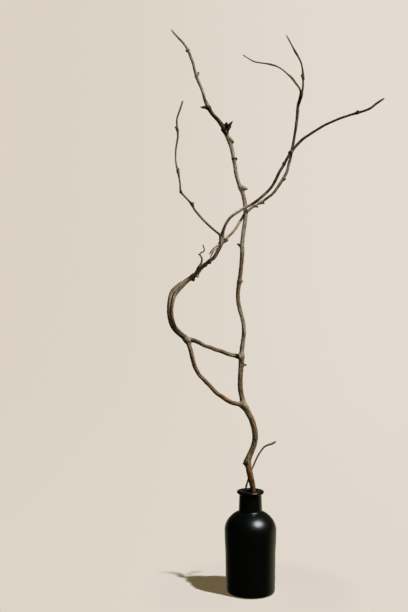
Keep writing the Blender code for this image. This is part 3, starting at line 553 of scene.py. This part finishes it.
def grow(route, tones, seed, sides, step, ends=(1.0, 1.0), others=(), strength=1.0, ring_gap=9.0,
         flat=1.0, bend=False, look=None, scales=False):
    """One limb: a tube along a route, with bark relief, growth rings and smooth hollows at its forks.

    A point is centre + (across cos a + front sin a) times the radius. The radius has noise drawn out
    along the limb added: slow swellings, folded ridges and a fine grain, and a low ring at each node.
    Bud scales are steps along two spirals. The colours are the table's, at the point's place along
    the limb, plus each mark times its share; some of the marks are painted light and shade.
    """
    path = walk(route, step, ends)
    angles = np.arange(sides) * TAU / sides
    cosine, sine = np.cos(angles)[:, None], np.sin(angles)[:, None]
    outward = path.across[:, None] * cosine + path.front[:, None] * sine * flat
    radius = path.radius[:, None] * np.ones(sides)
    crease = left = right = lip = np.zeros_like(radius)
    if bend:
        radius, crease, left, right, lip = strands(path, angles)
    if others:
        base = path.place[:, None] + outward * radius[..., None]
        radius = radius + meet(base, outward, path.radius, others)

    size = np.maximum(path.radius, LEAST_SIZE)[:, None] * np.ones(sides)
    lengths = path.run[:, None] * np.ones(sides)
    wound = angles + path.run[:, None] * TAU / TWIST
    grain = np.stack([size * np.cos(wound), size * np.sin(wound), lengths], axis=2) + seed * SEED_SHIFT
    slow = noise(grain / SLOW_CELL, seed) - 0.5
    ridge = np.abs(2 * noise(grain / RIDGE_CELL, seed + 1) - 1) - RIDGE_MEAN
    fine = noise(grain / FINE_CELL, seed + 2) - 0.5
    flake = ease(noise(grain / FLAKE_CELL, seed + 3), *FLAKE_EDGE)
    nodes = np.arange(0, path.run[-1] + ring_gap, ring_gap)
    stray = noise(np.outer(nodes, (1, 1, 1)) / ring_gap, seed + 4) - 0.5
    nodes = nodes + ring_gap * RING_STRAY * stray
    ring = peak(path.run[:, None], nodes, RING_WIDTH).sum(axis=1)[:, None]
    relief = sum(depth * wave for depth, wave in zip(RELIEF, (slow, ridge, fine, flake, ring)))
    if scales:
        row = SCALE_ROWS * path.run[:, None] / path.run[-1]
        spirals = [(row + turn * angles / TAU) % 1 for turn in SCALE_TURNS]
        relief = relief + SCALE_DEPTH * (1 - np.maximum(*spirals)) - SCALE_SINK
    radius = radius + relief * strength * size * path.end[:, None]
    rings = path.place[:, None] + outward * radius[..., None]

    axis, table = tones
    table = np.array(table)
    if look:
        tone = np.ones((*radius.shape, 3)) * STUB_LOOKS[look]
    else:
        columns = [np.interp(rings[..., axis], table[:, 0], column) for column in table[:, 1:].T]
        tone = np.stack(columns, axis=2)
    side, height = outward[..., 0], rings[..., 2]
    brown = 1 - ease(height, *BROWN_HEIGHT)
    # Among these marks, the side towards the key light, the shaded side, the lit right strand, the crease
    # and the lip are painted light and shade.
    signs = {
        "painted_lit_side": outward @ LIT_SIDE_FACING, "right side": side, "shade": ease(-side, *SHADED_SIDE),
        "patch": noise(grain / PATCH_CELL, seed + 5) - 0.5, "ridge": ridge, "ring": ring,
        "crease": crease, "lip": lip, "left strand": left, "left grey": left * ease(height, *GREY_HEIGHT),
        "right strand": right, "right brown": right * brown,
        "right lit": right * (1 - brown) * np.maximum(side, 0),
    }
    tone = tone + sum(values[..., None] * TONE_SHARES[sign] for sign, values in signs.items())
    return shell(rings, grain, tone)


def put(name, shells, material, node):
    """Make one mesh of several shells and set it in the frame in place of its CAD node."""
    first = np.cumsum([0] + [len(part.points) for part in shells[:-1]])
    faces = [(part.quads + start).tolist() for part, start in zip(shells, first)]
    faces += [(part.fans + start).tolist() for part, start in zip(shells, first)]
    mesh = bpy.data.meshes.new(name)
    mesh.from_pydata((np.concatenate([part.points for part in shells]) * MM).tolist(), [], sum(faces, []))
    for layer in ("grain", "tone"):
        values = np.concatenate([getattr(part, layer) for part in shells])
        mesh.attributes.new(layer, "FLOAT_VECTOR", "POINT").data.foreach_set("vector", values.ravel())
    mesh.shade_smooth()
    mesh.materials.append(material)
    piece = bpy.data.objects.new(name, mesh)
    bpy.context.scene.collection.objects.link(piece)
    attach(piece, "root")
    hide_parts(node)


def taper(start, end, thick, thin, shape):
    """The route of a stub or bud: a straight line whose thickness goes from thick to thin as shaped."""
    start, end = np.array(start, float), np.array(end, float)
    return [(*(start + (end - start) * place), thin + (thick - thin) * share) for place, share in shape]


STUB_ROUTES = [taper(*stub[:4], STUB_SHAPE) for stub in STUBS]
BUD_ROUTES = [taper(*bud, BUD_SHAPE) for bud in BUDS]


def curves(*routes):
    """Fine curves through several routes, for the limbs that another one grows from."""
    return [smooth_route(route, CURVE_STEP)[0] for route in routes]


def fit(tree, made, sockets):
    """Set a node's sockets to values, or link them where the value is another node's output."""
    for name, value in sockets.items():
        if isinstance(value, bpy.types.NodeSocket):
            tree.links.new(value, made.inputs[name])
        else:
            made.inputs[name].default_value = value
    return made


def node(tree, kind, sockets=None, **settings):
    """Add a node with its settings and sockets."""
    made = tree.nodes.new("ShaderNode" + kind)
    for name, value in settings.items():
        setattr(made, name, value)
    return fit(tree, made, sockets or {})


def mix(tree, factor, first, second):
    """The blend of two colours, clamped."""
    return node(tree, "Mix", {0: factor, 6: first, 7: second}, data_type="RGBA").outputs[2]


def product(tree, first, second):
    """First times second."""
    return node(tree, "Math", {0: first, 1: second}, operation="MULTIPLY").outputs[0]


def sum_of(tree, first, second, factor=1.0):
    """First times factor, plus second."""
    return node(tree, "Math", {0: first, 1: factor, 2: second}, operation="MULTIPLY_ADD").outputs[0]


def between(tree, value, low, high, to_low=0.0, to_high=1.0):
    """A value's soft step from one range to another."""
    sockets = {0: value, 1: low, 2: high, 3: to_low, 4: to_high}
    return node(tree, "MapRange", sockets, interpolation_type="SMOOTHSTEP").outputs[0]


def stretched(tree, vector, across, along):
    """A pattern's coordinates, with one scale round the limb and another along it."""
    return node(tree, "Mapping", {0: vector, 3: (across, across, along)}).outputs[0]


def cloud(tree, vector, detail=4.0, roughness=0.6, scale=1.0):
    """Cloud noise, from 0 to 1."""
    sockets = {"Vector": vector, "Scale": scale, "Detail": detail, "Roughness": roughness}
    return node(tree, "TexNoise", sockets).outputs[0]


def new_material(name):
    """An empty Principled material, its node tree and its shader."""
    material = bpy.data.materials.new(name)
    material.use_nodes = True
    return material, material.node_tree, material.node_tree.nodes["Principled BSDF"]


def bark(look, name="dry bark", gloss=0.0):
    """Weathered bark: streaks, cracks and flakes drawn along the grain, in the colours of the tone."""
    material, tree, shader = new_material(name)
    grain = node(tree, "Attribute", attribute_name="grain").outputs["Vector"]
    tone = node(tree, "Attribute", attribute_name="tone").outputs["Vector"]
    pale, warm, dark = node(tree, "SeparateXYZ", {0: tone}).outputs[:3]
    streak = cloud(tree, stretched(tree, grain, *STREAK_SCALE), roughness=0.58)
    fibre = cloud(tree, stretched(tree, grain, *FIBRE_SCALE), detail=3.0)
    blotch = cloud(tree, stretched(tree, grain, *BLOTCH_SCALE), detail=3.0)
    speck = cloud(tree, stretched(tree, grain, *SPECK_SCALE), detail=2.0)
    waves = node(tree, "TexNoise", {"Vector": grain, "Scale": WAVE_SCALE}).outputs[1]
    wavy = node(tree, "VectorMath", {0: grain, 1: waves}).outputs[0]
    cells = {"Vector": stretched(tree, wavy, *CRACK_SCALE), "Scale": 1.0}
    crack = node(tree, "TexVoronoi", cells, feature="DISTANCE_TO_EDGE").outputs["Distance"]
    crack = product(tree, between(tree, crack, *CRACK_RANGE), between(tree, blotch, *CRACKED_RANGE))

    pale = sum_of(tree, blotch, sum_of(tree, streak, pale, PALE_STREAK), PALE_BLOTCH)
    warm = between(tree, sum_of(tree, fibre, warm, WARM_FIBRE), *WARM_RANGE)
    dark = between(tree, sum_of(tree, streak, dark, DARK_STREAK), *DARK_RANGE)
    colour = mix(tree, between(tree, pale, *PALE_RANGE), (*look.tan, 1), (*look.pale, 1))
    colour = mix(tree, warm, colour, (*look.warm, 1))
    colour = mix(tree, dark, colour, (*look.dark, 1))
    colour = mix(tree, between(tree, speck, *SPECK_RANGE), colour, (*look.pale, 1))
    colour = mix(tree, sum_of(tree, crack, 0.0, DARK_CRACK), colour, (*look.dark, 1))
    rough = look.roughness - gloss
    height = sum_of(tree, fibre, sum_of(tree, crack, 0.0, CRACK_HEIGHT), FIBRE_HEIGHT)
    bump = {"Height": sum_of(tree, streak, height), "Strength": 0.8, "Distance": look.bump}
    fit(tree, shader, {
        "Base Color": colour, "Normal": node(tree, "Bump", bump).outputs[0],
        "Roughness": between(tree, fibre, *FIBRE_RANGE, rough, rough + ROUGHNESS_SPREAD),
        "Specular IOR Level": BARK_GLOSS, "Specular Tint": BARK_SHEEN,
    })
    return material


def glass(look):
    """Black glass with a satin face: faintly uneven gloss, a fine ripple, and a little dust."""
    material, tree, shader = new_material("black glass")
    place = node(tree, "TexCoord").outputs["Object"]
    ripple = cloud(tree, place, detail=2.0, roughness=0.5, scale=RIPPLE_SCALE)
    smudge = cloud(tree, place, detail=2.0, roughness=0.5, scale=SMUDGE_SCALE)
    dust = cloud(tree, place, detail=2.0, scale=DUST_SCALE)
    gloss = [look.roughness + spread for spread in SMUDGE_SPREAD]
    bump = {"Height": ripple, "Strength": 0.25, "Distance": look.ripple}
    fit(tree, shader, {
        "Base Color": mix(tree, between(tree, dust, *DUST_RANGE), (*look.colour, 1), (*look.dust, 1)),
        "Roughness": between(tree, smudge, *SMUDGE_RANGE, *gloss),
        "Normal": node(tree, "Bump", bump).outputs[0],
        "IOR": GLASS_IOR, "Specular Tint": (*look.sheen, 1),
    })
    return material


def arc(centre, radii, start, end, steps):
    """Points on an elliptical arc, angles in degrees from +X towards +Z."""
    angle = np.radians(np.linspace(start, end, steps + 1))
    return np.stack([centre[0] + radii[0] * np.cos(angle), centre[1] + radii[1] * np.sin(angle)], axis=1)


def corner(centre, radius, start, end):
    """Points on a rounded corner of a section."""
    return arc(centre, (radius, radius), start, end, CORNER_STEPS)


def turned(section, sides):
    """The rings of a section of (radius, height) turned round the upright axis."""
    angle = -np.arange(sides) * TAU / sides
    radius, height = section[:, :1], section[:, 1:]
    return np.stack([radius * np.cos(angle), radius * np.sin(angle), height * np.ones(sides)], axis=2)


def even(section, step):
    """A section cut into steps of about equal length."""
    run = np.append(0, np.cumsum(np.linalg.norm(np.diff(section, axis=0), axis=1)))
    at = np.linspace(0, run[-1], round(run[-1] / step) + 1)
    return np.stack([np.interp(at, run, section[:, 0]), np.interp(at, run, section[:, 1])], axis=1)


def soften(section, reach):
    """Round the corners of an even section: each point is the mean of those within reach of it."""
    width = 2 * reach + 1
    mirrored = section[::-1] * (-1, 1)
    padded = np.concatenate([mirrored[-reach - 1:-1], section, mirrored[1:reach + 1]])
    means = [np.convolve(column, np.ones(width) / width, "valid") for column in padded.T]
    return np.stack(means, axis=1)


def bottle_section(widest, height):
    """Half the bottle's section: up the inside, over the lip and down the outside, to the axis."""
    inner = BODY_STRAIGHT - WALL
    inner_end = math.degrees(math.acos(MOUTH / (widest - WALL)))
    outer_end = math.degrees(math.acos(NECK_FOOT / widest))
    lip = LIP_OUTER - LIP_ROUND
    under = height - LIP_THICKNESS
    return np.concatenate([
        [(0, FLOOR)],
        corner((inner - FLOOR_ROUND, FLOOR + FLOOR_ROUND), FLOOR_ROUND, -90, 0),
        [(inner, BODY_STRAIGHT_HEIGHT)],
        arc((0, SHOULDER), (widest - WALL, INNER_SHOULDER_RISE), 0, inner_end, INNER_STEPS),
        corner((MOUTH + MOUTH_ROUND, height - MOUTH_ROUND), MOUTH_ROUND, 180, 90),
        corner((lip, height - LIP_ROUND), LIP_ROUND, 90, 0),
        corner((lip, under + LIP_ROUND), LIP_ROUND, 0, -90),
        [(NECK_TOP, under)],
        arc((0, SHOULDER), (widest, SHOULDER_RISE), outer_end, 0, OUTER_STEPS),
        [(BODY_MIDDLE, (SHOULDER + BODY_STRAIGHT_HEIGHT) / 2), (BODY_STRAIGHT, BODY_STRAIGHT_HEIGHT)],
        corner((BODY_FOOT - HEEL_ROUND, HEEL_ROUND), HEEL_ROUND, 0, -90),
        [(BASE_RING, 0), (BASE_RING - RECESS_SLOPE, BASE_RECESS), (0, BASE_RECESS)],
    ])


class BarkLook(bpy.types.PropertyGroup):
    """The colours and surface of the dry bark."""

    # Pale is also laid on as painted light: on the side towards the key light, the lit right strand and the
    # lip.
    pale: FloatVectorProperty(
        name="Pale", description="Weathered bark on the ridges", subtype="COLOR",
        default=(0.56, 0.465, 0.335))
    tan: FloatVectorProperty(
        name="Tan", description="Plain bark", subtype="COLOR", default=(0.225, 0.155, 0.066))
    warm: FloatVectorProperty(
        name="Warm", description="Fresh rust-brown bark", subtype="COLOR", default=(0.30, 0.135, 0.032))
    dark: FloatVectorProperty(
        name="Dark", description="Cracks, collars and the shaded side", subtype="COLOR",
        default=(0.015, 0.0108, 0.0045))
    roughness: FloatProperty(
        name="Roughness", description="Roughness of the bark's fibres", subtype="FACTOR", default=0.78)
    bump: FloatProperty(
        name="Grain Height", description="Height of the fine grain", unit="LENGTH", default=0.00035)


class GlassLook(bpy.types.PropertyGroup):
    """The size and finish of the bottle."""

    widest: FloatProperty(
        name="Radius", description="Radius at the shoulder", unit="LENGTH", default=BOTTLE_BOX[1][0])
    height: FloatProperty(
        name="Height", description="Height of the lip", unit="LENGTH", default=BOTTLE_BOX[1][2])
    sides: IntProperty(name="Sides", description="Faces round the bottle", default=128)
    colour: FloatVectorProperty(
        name="Glass", description="Colour of the glass", subtype="COLOR", default=(0.0014, 0.0022, 0.0010))
    dust: FloatVectorProperty(
        name="Dust", description="Colour of the dust specks", subtype="COLOR", default=(0.05, 0.05, 0.045))
    sheen: FloatVectorProperty(
        name="Sheen", description="Tint of its highlights", subtype="COLOR", default=(0.87, 1.0, 0.74))
    roughness: FloatProperty(
        name="Roughness", description="Roughness of the satin face", subtype="FACTOR", default=0.27)
    ripple: FloatProperty(
        name="Ripple", description="Height of the slow ripple", unit="LENGTH", default=0.00012)


class WoodDetail(bpy.types.PropertyGroup):
    """How finely the limbs are meshed, and how deep their relief is."""

    step: FloatProperty(
        name="Ring Step", description="Distance between rings on old wood", unit="LENGTH", default=0.0008)
    sides: IntProperty(name="Sides", description="Points round old wood", default=48)
    young_sides: IntProperty(name="Young Sides", description="Points round a shoot", default=32)
    relief: FloatProperty(
        name="Relief", description="Depth of the bark's relief", subtype="FACTOR", default=1.0)


class StudioLook(bpy.types.PropertyGroup):
    """The backdrop, the light and the camera."""

    floor: FloatVectorProperty(
        name="Floor", description="Colour of the floor in the key light", subtype="COLOR",
        default=(0.59, 0.565, 0.545))
    shade: FloatVectorProperty(
        name="Shade", description="Glow of the floor, which its shadows keep", subtype="COLOR",
        default=(0.115, 0.080, 0.024))
    wall_left: FloatVectorProperty(
        name="Wall Left", description="Glow of the wall on the left", subtype="COLOR",
        default=(0.710, 0.643, 0.562))
    wall_right: FloatVectorProperty(
        name="Wall Right", description="Glow of the wall on the right", subtype="COLOR",
        default=(0.770, 0.708, 0.630))
    fade: FloatVectorProperty(
        name="Shadow Fade", description="Distances between which the floor's shadows fade out",
        subtype="XYZ_LENGTH", size=2, default=(0.10, 0.15))
    sun: FloatProperty(
        name="Sun", description="Strength of the key light", unit="POWER", default=3.6)
    sun_size: FloatProperty(
        name="Sun Size", description="Softness of its shadows", subtype="ANGLE", default=math.radians(2.4))
    softbox: FloatProperty(
        name="Softbox", description="Power of the softbox that makes the highlights", unit="POWER",
        default=52.0)
    side_fill: FloatProperty(
        name="Side Fill", description="Power of the panel that lightens the shaded side", unit="POWER",
        default=9.0)
    fill: FloatVectorProperty(
        name="Fill", description="Colour of the fill light", subtype="COLOR", default=(1.0, 0.95, 0.64))
    fill_low: FloatProperty(
        name="Least Fill", description="Strength of the fill from behind the camera", default=0.02)
    fill_high: FloatProperty(
        name="Most Fill", description="Strength of the fill from behind the object", default=0.5)


class GrowingOperator:
    """What the operators share: their place in the undo history."""

    bl_options = {"REGISTER", "UNDO"}


class DRYBRANCH_OT_bottle(GrowingOperator, bpy.types.Operator):
    """Turn the black glass bottle"""

    bl_idname = "dry_branch.bottle"
    bl_label = "Turn Bottle"

    def execute(self, context):
        """Turn its section, and put it in place of the bottle's node."""
        look = context.scene.dry_branch_glass
        section = bottle_section(look.widest / MM, look.height / MM)
        rings = turned(soften(even(section, SECTION_STEP), SECTION_SOFTNESS), look.sides)
        put("bottle_glass", [shell(rings, rings, rings)], glass(look), "bottle")
        return {"FINISHED"}


class DRYBRANCH_OT_stem(GrowingOperator, bpy.types.Operator):
    """Grow the crooked main stem"""

    bl_idname = "dry_branch.stem"
    bl_label = "Grow Stem"

    def execute(self, context):
        """Grow it from its foot in the bottle to its tip."""
        look, detail = context.scene.dry_branch_bark, context.scene.dry_branch_detail
        near = curves(LEFT_LIMB, CROSS_BAR, *STUB_ROUTES, *BUD_ROUTES)
        limb = grow(STEM, STEM_TONES, seed=1, sides=detail.sides, step=detail.step / MM, ends=(0.25, 1.0),
                    others=near, strength=detail.relief)
        put("stem", [limb], bark(look), "branch")
        return {"FINISHED"}


class DRYBRANCH_OT_left_limb(GrowingOperator, bpy.types.Operator):
    """Grow the left limb, with the thick bend of three strands"""

    bl_idname = "dry_branch.left_limb"
    bl_label = "Grow Left Limb"

    def execute(self, context):
        """Grow it from the stem to where the shoots part."""
        look, detail = context.scene.dry_branch_bark, context.scene.dry_branch_detail
        shoots = FRONT_SHOOT, BACK_SHOOT, LEFT_SHOOT
        near = curves(STEM, CROSS_BAR, *shoots, CURLED_TWIGLET, *STUB_ROUTES)
        limb = grow(LEFT_LIMB, LIMB_TONES, seed=2, sides=detail.sides + EXTRA_BEND_SIDES,
                    step=detail.step / MM, others=near, strength=detail.relief, bend=True)
        put("left_limb", [limb], bark(look), "branch")
        return {"FINISHED"}


class DRYBRANCH_OT_shoots(GrowingOperator, bpy.types.Operator):
    """Grow the cross-bar, the long shoots and the forked tip"""

    bl_idname = "dry_branch.shoots"
    bl_label = "Grow Shoots"

    def execute(self, context):
        """Grow each one from the limbs that carry it."""
        look, detail = context.scene.dry_branch_bark, context.scene.dry_branch_detail
        material = bark(look)
        tips = FORK_TIP_RIGHT, FORK_TIP_LEFT
        limbs = [
            ("cross_bar", CROSS_BAR, CROSS_TONES, (STEM, LEFT_LIMB)),
            ("front_shoot", FRONT_SHOOT, FRONT_TONES, (LEFT_LIMB, BACK_SHOOT, LEFT_SHOOT)),
            ("back_shoot", BACK_SHOOT, BACK_TONES, (LEFT_LIMB, FRONT_SHOOT, LEFT_SHOOT, *tips)),
            ("left_shoot", LEFT_SHOOT, LEFT_TONES, (LEFT_LIMB, FRONT_SHOOT, BACK_SHOOT)),
            ("fork_tip_right", FORK_TIP_RIGHT, BACK_TONES, (BACK_SHOOT, FORK_TIP_LEFT)),
            ("fork_tip_left", FORK_TIP_LEFT, BACK_TONES, (BACK_SHOOT, FORK_TIP_RIGHT)),
        ]
        for seed, (name, route, tones, others) in enumerate(limbs, start=3):
            near = curves(*others, *STUB_ROUTES)
            limb = grow(route, tones, seed, detail.young_sides, detail.step / MM, others=near,
                        strength=detail.relief, ring_gap=8.0)
            put(name, [limb], material, "branch")
        return {"FINISHED"}


class DRYBRANCH_OT_stubs(GrowingOperator, bpy.types.Operator):
    """Grow the stubs, knots and thorns"""

    bl_idname = "dry_branch.stubs"
    bl_label = "Grow Stubs"

    def execute(self, context):
        """Grow them all as one piece."""
        look, detail = context.scene.dry_branch_bark, context.scene.dry_branch_detail
        limbs = curves(STEM, LEFT_LIMB, CROSS_BAR, FRONT_SHOOT, BACK_SHOOT, LEFT_SHOOT, FORK_TIP_RIGHT,
                       FORK_TIP_LEFT)
        parts = [
            grow(route, STEM_TONES, seed, sides=24, step=0.25, ends=(0.4, 0.9), others=limbs,
                 strength=1.4 * detail.relief, ring_gap=2.2, look=stub[-1])
            for seed, (route, stub) in enumerate(zip(STUB_ROUTES, STUBS), start=20)
        ]
        put("stubs", parts, bark(look), "branch")
        return {"FINISHED"}


class DRYBRANCH_OT_buds(GrowingOperator, bpy.types.Operator):
    """Grow the cluster of dark buds"""

    bl_idname = "dry_branch.buds"
    bl_label = "Grow Buds"

    def execute(self, context):
        """Grow them with scales, as one piece."""
        look = context.scene.dry_branch_bark
        parts = [
            grow(route, STEM_TONES, seed, sides=28, step=0.25, ends=(0.6, 1.5), look="black", scales=True)
            for seed, route in enumerate(BUD_ROUTES, start=60)
        ]
        put("buds", parts, bark(look, "bud scales", gloss=0.25), "branch")
        return {"FINISHED"}


class DRYBRANCH_OT_curls(GrowingOperator, bpy.types.Operator):
    """Grow the curled dead twiglet and the two frayed strips of bark"""

    bl_idname = "dry_branch.curls"
    bl_label = "Grow Twiglet and Strips"

    def execute(self, context):
        """Grow them as one piece."""
        look = context.scene.dry_branch_bark
        parts = [grow(CURLED_TWIGLET, CURL_TONES, seed=80, sides=24, step=0.3, ends=(1.0, 1.4),
                      others=curves(LEFT_LIMB), strength=1.6, ring_gap=3.5)]
        parts += [
            grow(strip, STRIP_TONES, seed, sides=20, step=0.3, ends=(1.0, 2.0), strength=1.6, ring_gap=5.0,
                 flat=0.45)
            for seed, strip in enumerate(FRAYED_STRIPS, start=81)
        ]
        put("twiglet_and_strips", parts, bark(look), "branch")
        return {"FINISHED"}


class DRYBRANCH_OT_side_twig(GrowingOperator, bpy.types.Operator):
    """Grow the thin twig that stands beside the branch"""

    bl_idname = "dry_branch.side_twig"
    bl_label = "Grow Side Twig"

    def execute(self, context):
        """Grow it from the bottle's floor to its tip."""
        look, detail = context.scene.dry_branch_bark, context.scene.dry_branch_detail
        twig = grow(SIDE_TWIG, TWIG_TONES, seed=9, sides=detail.young_sides, step=0.6, ends=(0.25, 1.5),
                    strength=detail.relief, ring_gap=14.0)
        put("side_twig_bark", [twig], bark(look, "twig bark", gloss=0.08), "side_twig")
        return {"FINISHED"}


def lamp(name, kind, place, towards, unseen, **settings):
    """Add a light at a place, with its back towards a direction and unseen by some kinds of ray."""
    light = bpy.data.lights.new(name, kind)
    for setting, value in settings.items():
        setattr(light, setting, value)
    made = bpy.data.objects.new(name, light)
    made.location = place
    made.rotation_euler = Vector(towards).to_track_quat("Z", "Y").to_euler()
    for ray in unseen:
        setattr(made, "visible_" + ray, False)
    bpy.context.scene.collection.objects.link(made)


class DRYBRANCH_OT_stage(GrowingOperator, bpy.types.Operator):
    """Set up the pale backdrop, the light and the camera"""

    bl_idname = "dry_branch.stage"
    bl_label = "Set Stage"

    def execute(self, context):
        """Turn the backdrop, and add the sun, the softbox, the fill and the camera."""
        look = context.scene.dry_branch_studio
        edge = STAGE_FLAT + STAGE_BEND
        rim = edge + RIM_WIDTH
        bowl = turned(np.concatenate([
            [(0, STAGE_TOP), (STAGE_FLAT / 2, STAGE_TOP)],
            arc((STAGE_FLAT, STAGE_TOP + STAGE_BEND), (STAGE_BEND, STAGE_BEND), -90, 0, BEND_STEPS),
            [(edge, STAGE_HEIGHT), (rim, STAGE_HEIGHT), (rim, STAGE_UNDERSIDE), (0, STAGE_UNDERSIDE)],
        ]), BACKDROP_SIDES)
        backdrop = shell(bowl, bowl, bowl)
        faces = backdrop.quads.tolist() + backdrop.fans.tolist()
        mesh = bpy.data.meshes.new("backdrop")
        mesh.from_pydata((backdrop.points * MM).tolist(), [], faces)
        mesh.shade_smooth()
        stage = bpy.data.objects.new("backdrop", mesh)
        context.scene.collection.objects.link(stage)
        stage.visible_shadow = stage.visible_diffuse = stage.visible_glossy = False

        # The backdrop glows, painted light: near the object the floor takes the key light and keeps a dim
        # glow in its shadows, farther out it only glows, so the shadows fade, and the wall's glow is dimmer
        # to the left and brighter to the right.
        material, tree, shader = new_material("pale backdrop")
        place = node(tree, "TexCoord").outputs["Object"]
        distance = node(tree, "VectorMath", {0: place}, operation="LENGTH").outputs["Value"]
        rise = between(tree, distance, *look.fade)
        mottle = cloud(tree, place, detail=3.0, roughness=0.5, scale=MOTTLE_SCALE)
        mottle = between(tree, mottle, *MOTTLE_RANGE)
        floor = mix(tree, rise, (*look.floor, 1), (0, 0, 0, 1))
        sideways = between(tree, node(tree, "SeparateXYZ", {0: place}).outputs[0], *WALL_RANGE)
        wall = mix(tree, sideways, (*look.wall_left, 1), (*look.wall_right, 1))
        fit(tree, shader, {
            "Base Color": node(tree, "VectorMath", {0: floor, 3: mottle}, operation="SCALE").outputs[0],
            "Emission Color": mix(tree, rise, (*look.shade, 1), wall), "Emission Strength": 1.0,
            "Roughness": 0.9, "Specular IOR Level": 0.0,
        })
        mesh.materials.append(material)

        lamp("sun", "SUN", (0, 0, 0), TO_SUN, ["glossy"], energy=look.sun, angle=look.sun_size)
        lamp("softbox", "AREA", Vector(TO_SOFTBOX) * SOFTBOX_FAR, TO_SOFTBOX, ["diffuse", "camera"],
             shape="ELLIPSE", size=SOFTBOX_SIZE[0], size_y=SOFTBOX_SIZE[1], energy=look.softbox,
             color=SOFTBOX_COLOUR)
        lamp("fill", "AREA", FILL_PLACE, Vector(FILL_PLACE) - Vector(FILL_AIM), ["glossy", "camera"],
             size=FILL_SIZE, energy=look.side_fill, use_shadow=False)

        world = bpy.data.worlds.new("fill")
        world.use_nodes = True
        tree = world.node_tree
        towards = node(tree, "TexCoord").outputs["Generated"]
        facing = node(tree, "VectorMath", {0: towards, 1: FILL_FROM}, operation="DOT_PRODUCT")
        facing = between(tree, facing.outputs["Value"], *FILL_RANGE, look.fill_low, look.fill_high)
        upward = node(tree, "SeparateXYZ", {0: towards}).outputs[2]
        strength = product(tree, facing, between(tree, upward, *OVERHEAD_RANGE))
        fit(tree, tree.nodes["Background"], {"Color": (*look.fill, 1), "Strength": strength})
        context.scene.world = world
        context.scene.view_settings.view_transform = "Standard"

        lens = bpy.data.cameras.new("camera")
        lens.lens = LENS
        lens.clip_end = CAMERA_REACH
        camera = bpy.data.objects.new("camera", lens)
        camera.location = CAMERA_PLACE
        camera.rotation_euler = (math.pi / 2, 0, 0)
        context.scene.collection.objects.link(camera)
        context.scene.camera = camera
        return {"FINISHED"}


OPERATORS = [
    DRYBRANCH_OT_bottle, DRYBRANCH_OT_stem, DRYBRANCH_OT_left_limb, DRYBRANCH_OT_shoots, DRYBRANCH_OT_stubs,
    DRYBRANCH_OT_buds, DRYBRANCH_OT_curls, DRYBRANCH_OT_side_twig, DRYBRANCH_OT_stage,
]
LOOKS = {
    "dry_branch_bark": BarkLook, "dry_branch_glass": GlassLook,
    "dry_branch_detail": WoodDetail, "dry_branch_studio": StudioLook,
}


class DRYBRANCH_PT_panel(bpy.types.Panel):
    """The branch's sizes and colours, and a button for each of its pieces."""

    bl_label = "Dry Branch"
    bl_space_type = "VIEW_3D"
    bl_region_type = "UI"
    bl_category = "Dry Branch"

    def draw(self, context):
        """List the settings, then the operators."""
        for look in LOOKS:
            box = self.layout.box()
            group = getattr(context.scene, look)
            for setting in group.bl_rna.properties:
                if setting.identifier not in ("name", "rna_type"):
                    box.prop(group, setting.identifier)
        for operator in OPERATORS:
            self.layout.operator(operator.bl_idname)


def register():
    """Register the settings, the operators and the panel."""
    for name, look in LOOKS.items():
        bpy.utils.register_class(look)
        setattr(bpy.types.Scene, name, PointerProperty(type=look))
    for kind in (*OPERATORS, DRYBRANCH_PT_panel):
        bpy.utils.register_class(kind)


def unregister():
    """Take back all that register added."""
    for kind in (DRYBRANCH_PT_panel, *reversed(OPERATORS)):
        bpy.utils.unregister_class(kind)
    for name, look in LOOKS.items():
        delattr(bpy.types.Scene, name)
        bpy.utils.unregister_class(look)


def main():
    """Build the pieces in order."""
    register()
    for operator in OPERATORS:
        group, name = operator.bl_idname.split(".")
        getattr(getattr(bpy.ops, group), name)()


if __name__ == "__main__":
    main()
